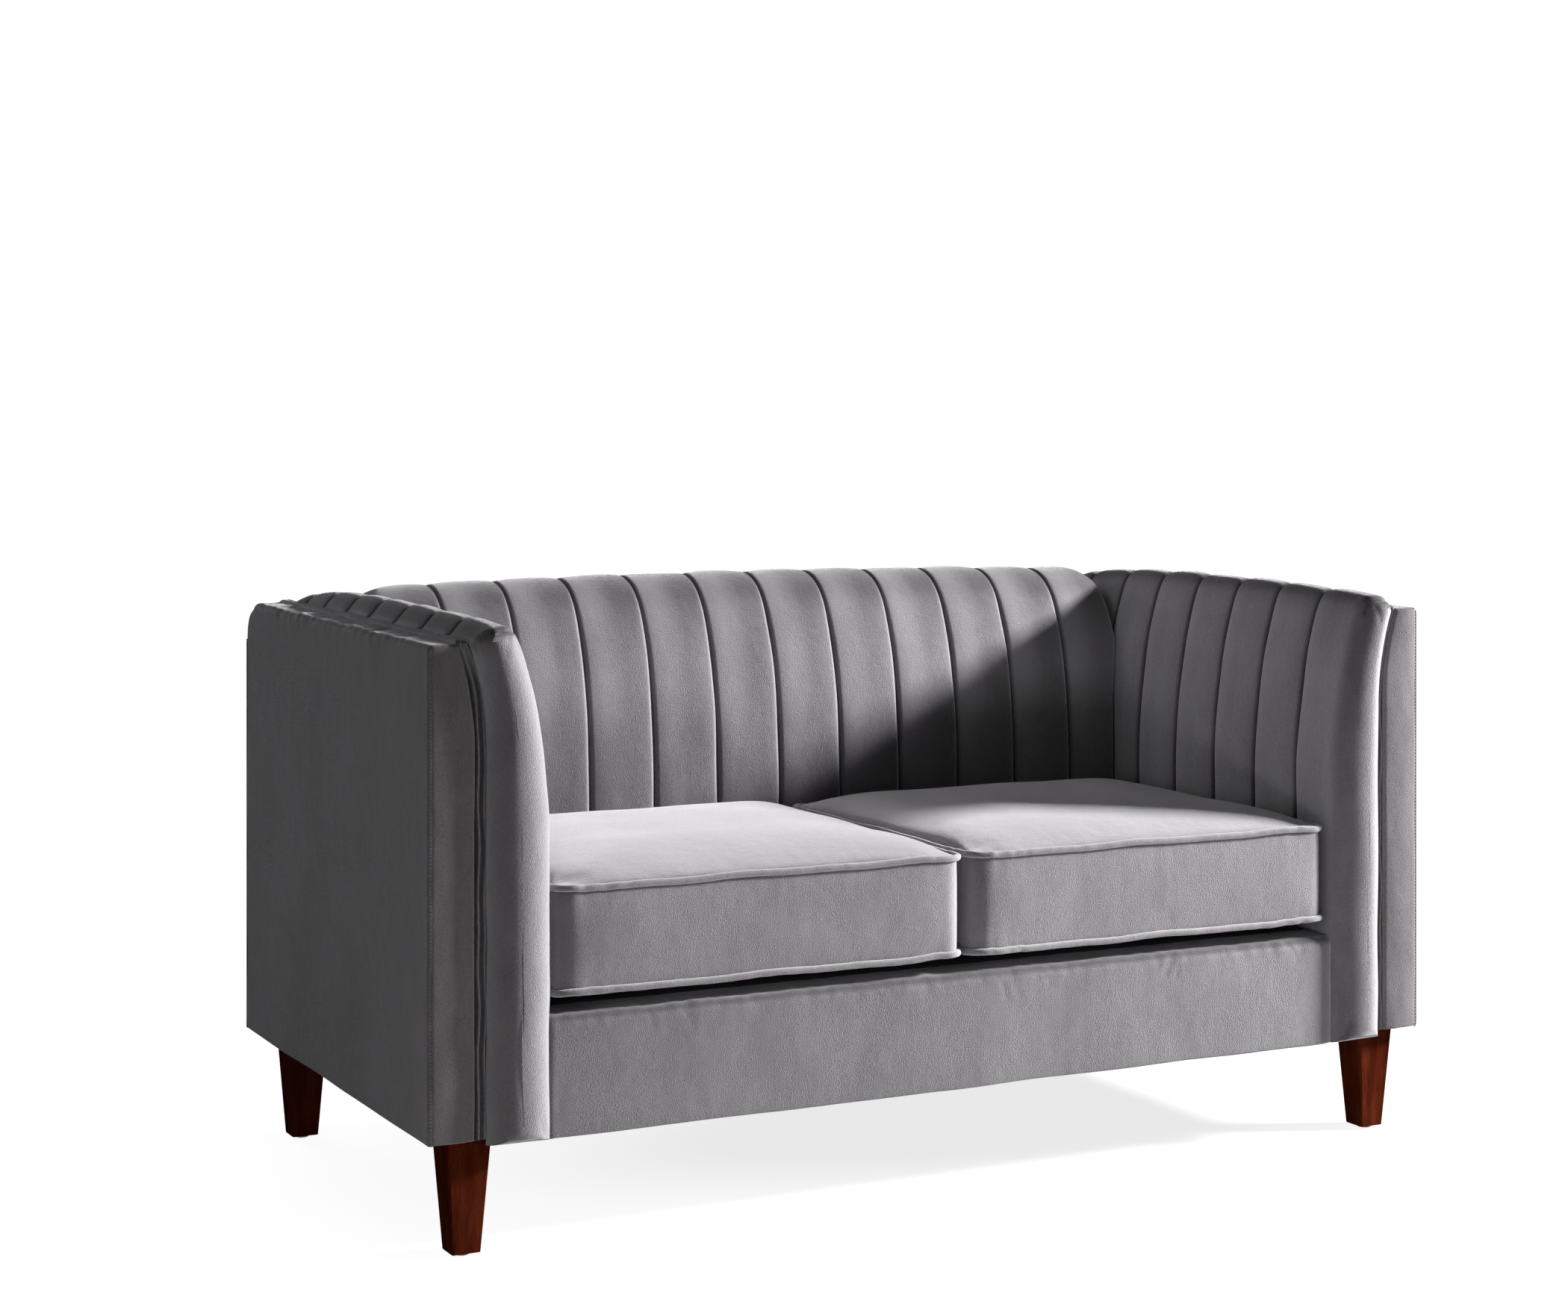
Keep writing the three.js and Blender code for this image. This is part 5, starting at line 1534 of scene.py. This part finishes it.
    def pipe(self, loops: Sequence[Array]) -> None:
        """Make the covered cord round each seam."""
        cords = []
        for place, loop in enumerate(loops):
            line = resample(np.vstack([loop, loop[:1]]), 4.0)[:-1]
            line[:, :2] += unit(line[:, :2]) * 1.6
            along = np.linspace(0, 2 * math.pi, len(line), endpoint=False)
            line[:, 2] += 0.8 * np.sin(along * 9 + place) + 0.5 * np.sin(along * 17 + 2 * place)
            cord = tube(line, self.piping, 12, Ends.JOINED)
            cord.points += self.middle()
            cords.append(cord.lump(121 + place, 12.0, 0.16))
        self.seat(merged(cords), "cushion_piping", finish=self.finishes.cushion)

    def zip(self) -> None:
        """Make the zip's tapes and teeth in the rear border."""
        rear, height = self.middle_y + self.half_depth + 1.6, self.zip_height
        start, end = self.middle()[0] + self.zip_half * np.array([-1, 1])
        out, rise = np.array([(0, 0), (1.1, 0.6), (1.1, 8.4), (0, 9)]).T
        tapes = [Skin.loft([columns(x, rear + out, height + way * (1.6 + rise))
                            for x in np.linspace(start, end, 60)]) for way in (-1, 1)]
        self.seat(merged(tapes), "zip_tapes", finish=self.finishes.tape)
        teeth = []
        for k, x in enumerate(np.arange(start + 6, end - 6, self.tooth_pitch)):
            rises = np.array([2.4, 1.0, -0.8]) * (1 if k % 2 else -1)
            path = columns(x, rear + np.array([1.0, 1.9, 1.0]), height + rises)
            teeth.append(tube(path, self.tooth, 5))
        self.seat(merged(teeth), "zip_teeth", finish=self.finishes.nylon, slot=Slot.NYLON)


@dataclass
class Carried(Piece):
    """The solids that stay as they are, with their finishes."""

    eased_from: float = 40.0  # degrees by which an edge turns that gets eased

    def finish_of(self, name: str) -> tuple[bpy.types.Material, float] | None:
        """Return a node's material and the width of its eased edges, where it stays."""
        made = self.finishes
        table = {
            "_leg_plate": (made.steel, 0.0), "_glide": (made.nylon, 0.4),
            "_leg": (made.wood, 0.7), "spring_clip": (made.steel, 0.0),
            "seat_spring_": (made.steel, 0.0), "zip_slider": (made.slider, 0.5),
            **dict.fromkeys(("_post", "_rail", "_bearer", "_board"), (made.timber, 0.8)),
        }
        return next((choice for key, choice in table.items() if key in name), None)

    def dress(self) -> None:
        """Give every carried-over solid its material and eased edges."""
        kept = {node: self.finish_of(name) for name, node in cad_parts.items()}
        kept = {node: choice for node, choice in kept.items() if choice}
        for node, (material, edge) in kept.items():
            for slot in node.material_slots:
                slot.material = material
            if edge:
                eased = node.modifiers.new("eased_edges", "BEVEL")
                eased.width = edge * MM
                eased.segments = 2
                eased.limit_method = "ANGLE"
                eased.angle_limit = math.radians(self.eased_from)
        log.info("carried over: %d solids", len(kept))


@dataclass
class Studio:
    """Floor, lamps, world and camera, in metres."""

    floor_radius: float = 60.0
    world: float = 0.05
    lens: float = 65.42
    shift: float = -0.1509
    standpoint: Place = (-1.9216, -3.5992, 1.0195)
    heading: float = -27.065  # degrees
    lamps: tuple = (  # name, place, target, size, power
        ("key", (4.12, -1.79, 2.33), (0.1, 0.0, 0.5), (0.84, 0.48), 570.0),
        ("fill", (-3.9, -2.2, 1.0), (-0.7, -0.3, 0.4), (1.0, 1.0), 12.3),
        ("top", (-0.6, 0.85, 2.0), (0.4, -0.1, 0.5), (0.6, 0.6), 3.0),
        ("rear", (-1.2, 3.4, 1.5), (0.0, 0.4, 0.5), (1.2, 1.2), 22.0),
        ("front", (-0.05, -1.25, 0.22), (0.0, -0.37, 0.4), (1.6, 0.12), 3.3),
    )

    def floor(self) -> None:
        """Make the floor, which runs out into the white behind it."""
        mesh = bpy.data.meshes.new("studio_floor")
        turn = np.linspace(0, 2 * math.pi, 96, endpoint=False)
        ring = self.floor_radius * columns(np.cos(turn), np.sin(turn), 0.0)
        mesh.from_pydata(ring.tolist(), [], [tuple(range(len(ring)))])
        mesh.materials.append(StudioFloor().make())
        linked("studio_floor", mesh)

    @staticmethod
    def lamp(name: str, place: Place, target: Place, size: tuple[float, float],
             power: float) -> None:
        """Add an area lamp that looks at a point."""
        data = bpy.data.lights.new(name, "AREA")
        data.shape = "RECTANGLE"
        data.size, data.size_y = size
        data.energy = power
        lamp = linked(name, data)
        lamp.location = place
        x, y, z = np.subtract(target, place)
        lamp.rotation_euler = (math.atan2(math.hypot(x, y), -z), 0, math.atan2(-x, y))
        lamp.visible_camera = False

    def sky(self) -> None:
        """Light the scene evenly and show white behind it."""
        world = bpy.data.worlds.new("studio_world")
        bpy.context.scene.world = world
        nodes = NodeMaker(world)
        strength = self.world + (1.0 - self.world) * nodes.seen_directly()
        light = nodes.add("ShaderNodeBackground", None,
                          {"Color": (1.0, 1.0, 1.0), "Strength": strength})
        nodes.add("ShaderNodeOutputWorld", None, {"Surface": light})

    def camera(self) -> None:
        """Place the camera where the photograph was taken from."""
        data = bpy.data.cameras.new("photo_camera")
        data.sensor_width = 36.0
        data.lens = self.lens
        data.shift_y = self.shift
        camera = linked("photo_camera", data)
        camera.location = self.standpoint
        camera.rotation_euler = (math.radians(90), 0, math.radians(self.heading))
        bpy.context.scene.camera = camera

    def dress(self) -> None:
        """Set up the studio."""
        bpy.context.scene.view_settings.view_transform = "Standard"
        self.floor()
        self.sky()
        self.camera()
        for row in self.lamps:
            self.lamp(*row)


def main() -> None:
    """Build the loveseat's looks piece by piece."""
    logging.basicConfig(level=logging.INFO, format="%(name)s: %(message)s")
    finishes = Finishes()
    Studio().dress()
    Carried(finishes).dress()
    for side in Side:
        for kind in (ArmPad, ArmCover, DoubleWelt):
            kind(finishes, side).dress()
    for kind in (BackPad, OutsideBack, Apron, Linings):
        kind(finishes).dress()
    for side in Side:
        SeatCushion(finishes, side).dress()


if __name__ == "__main__":
    main()
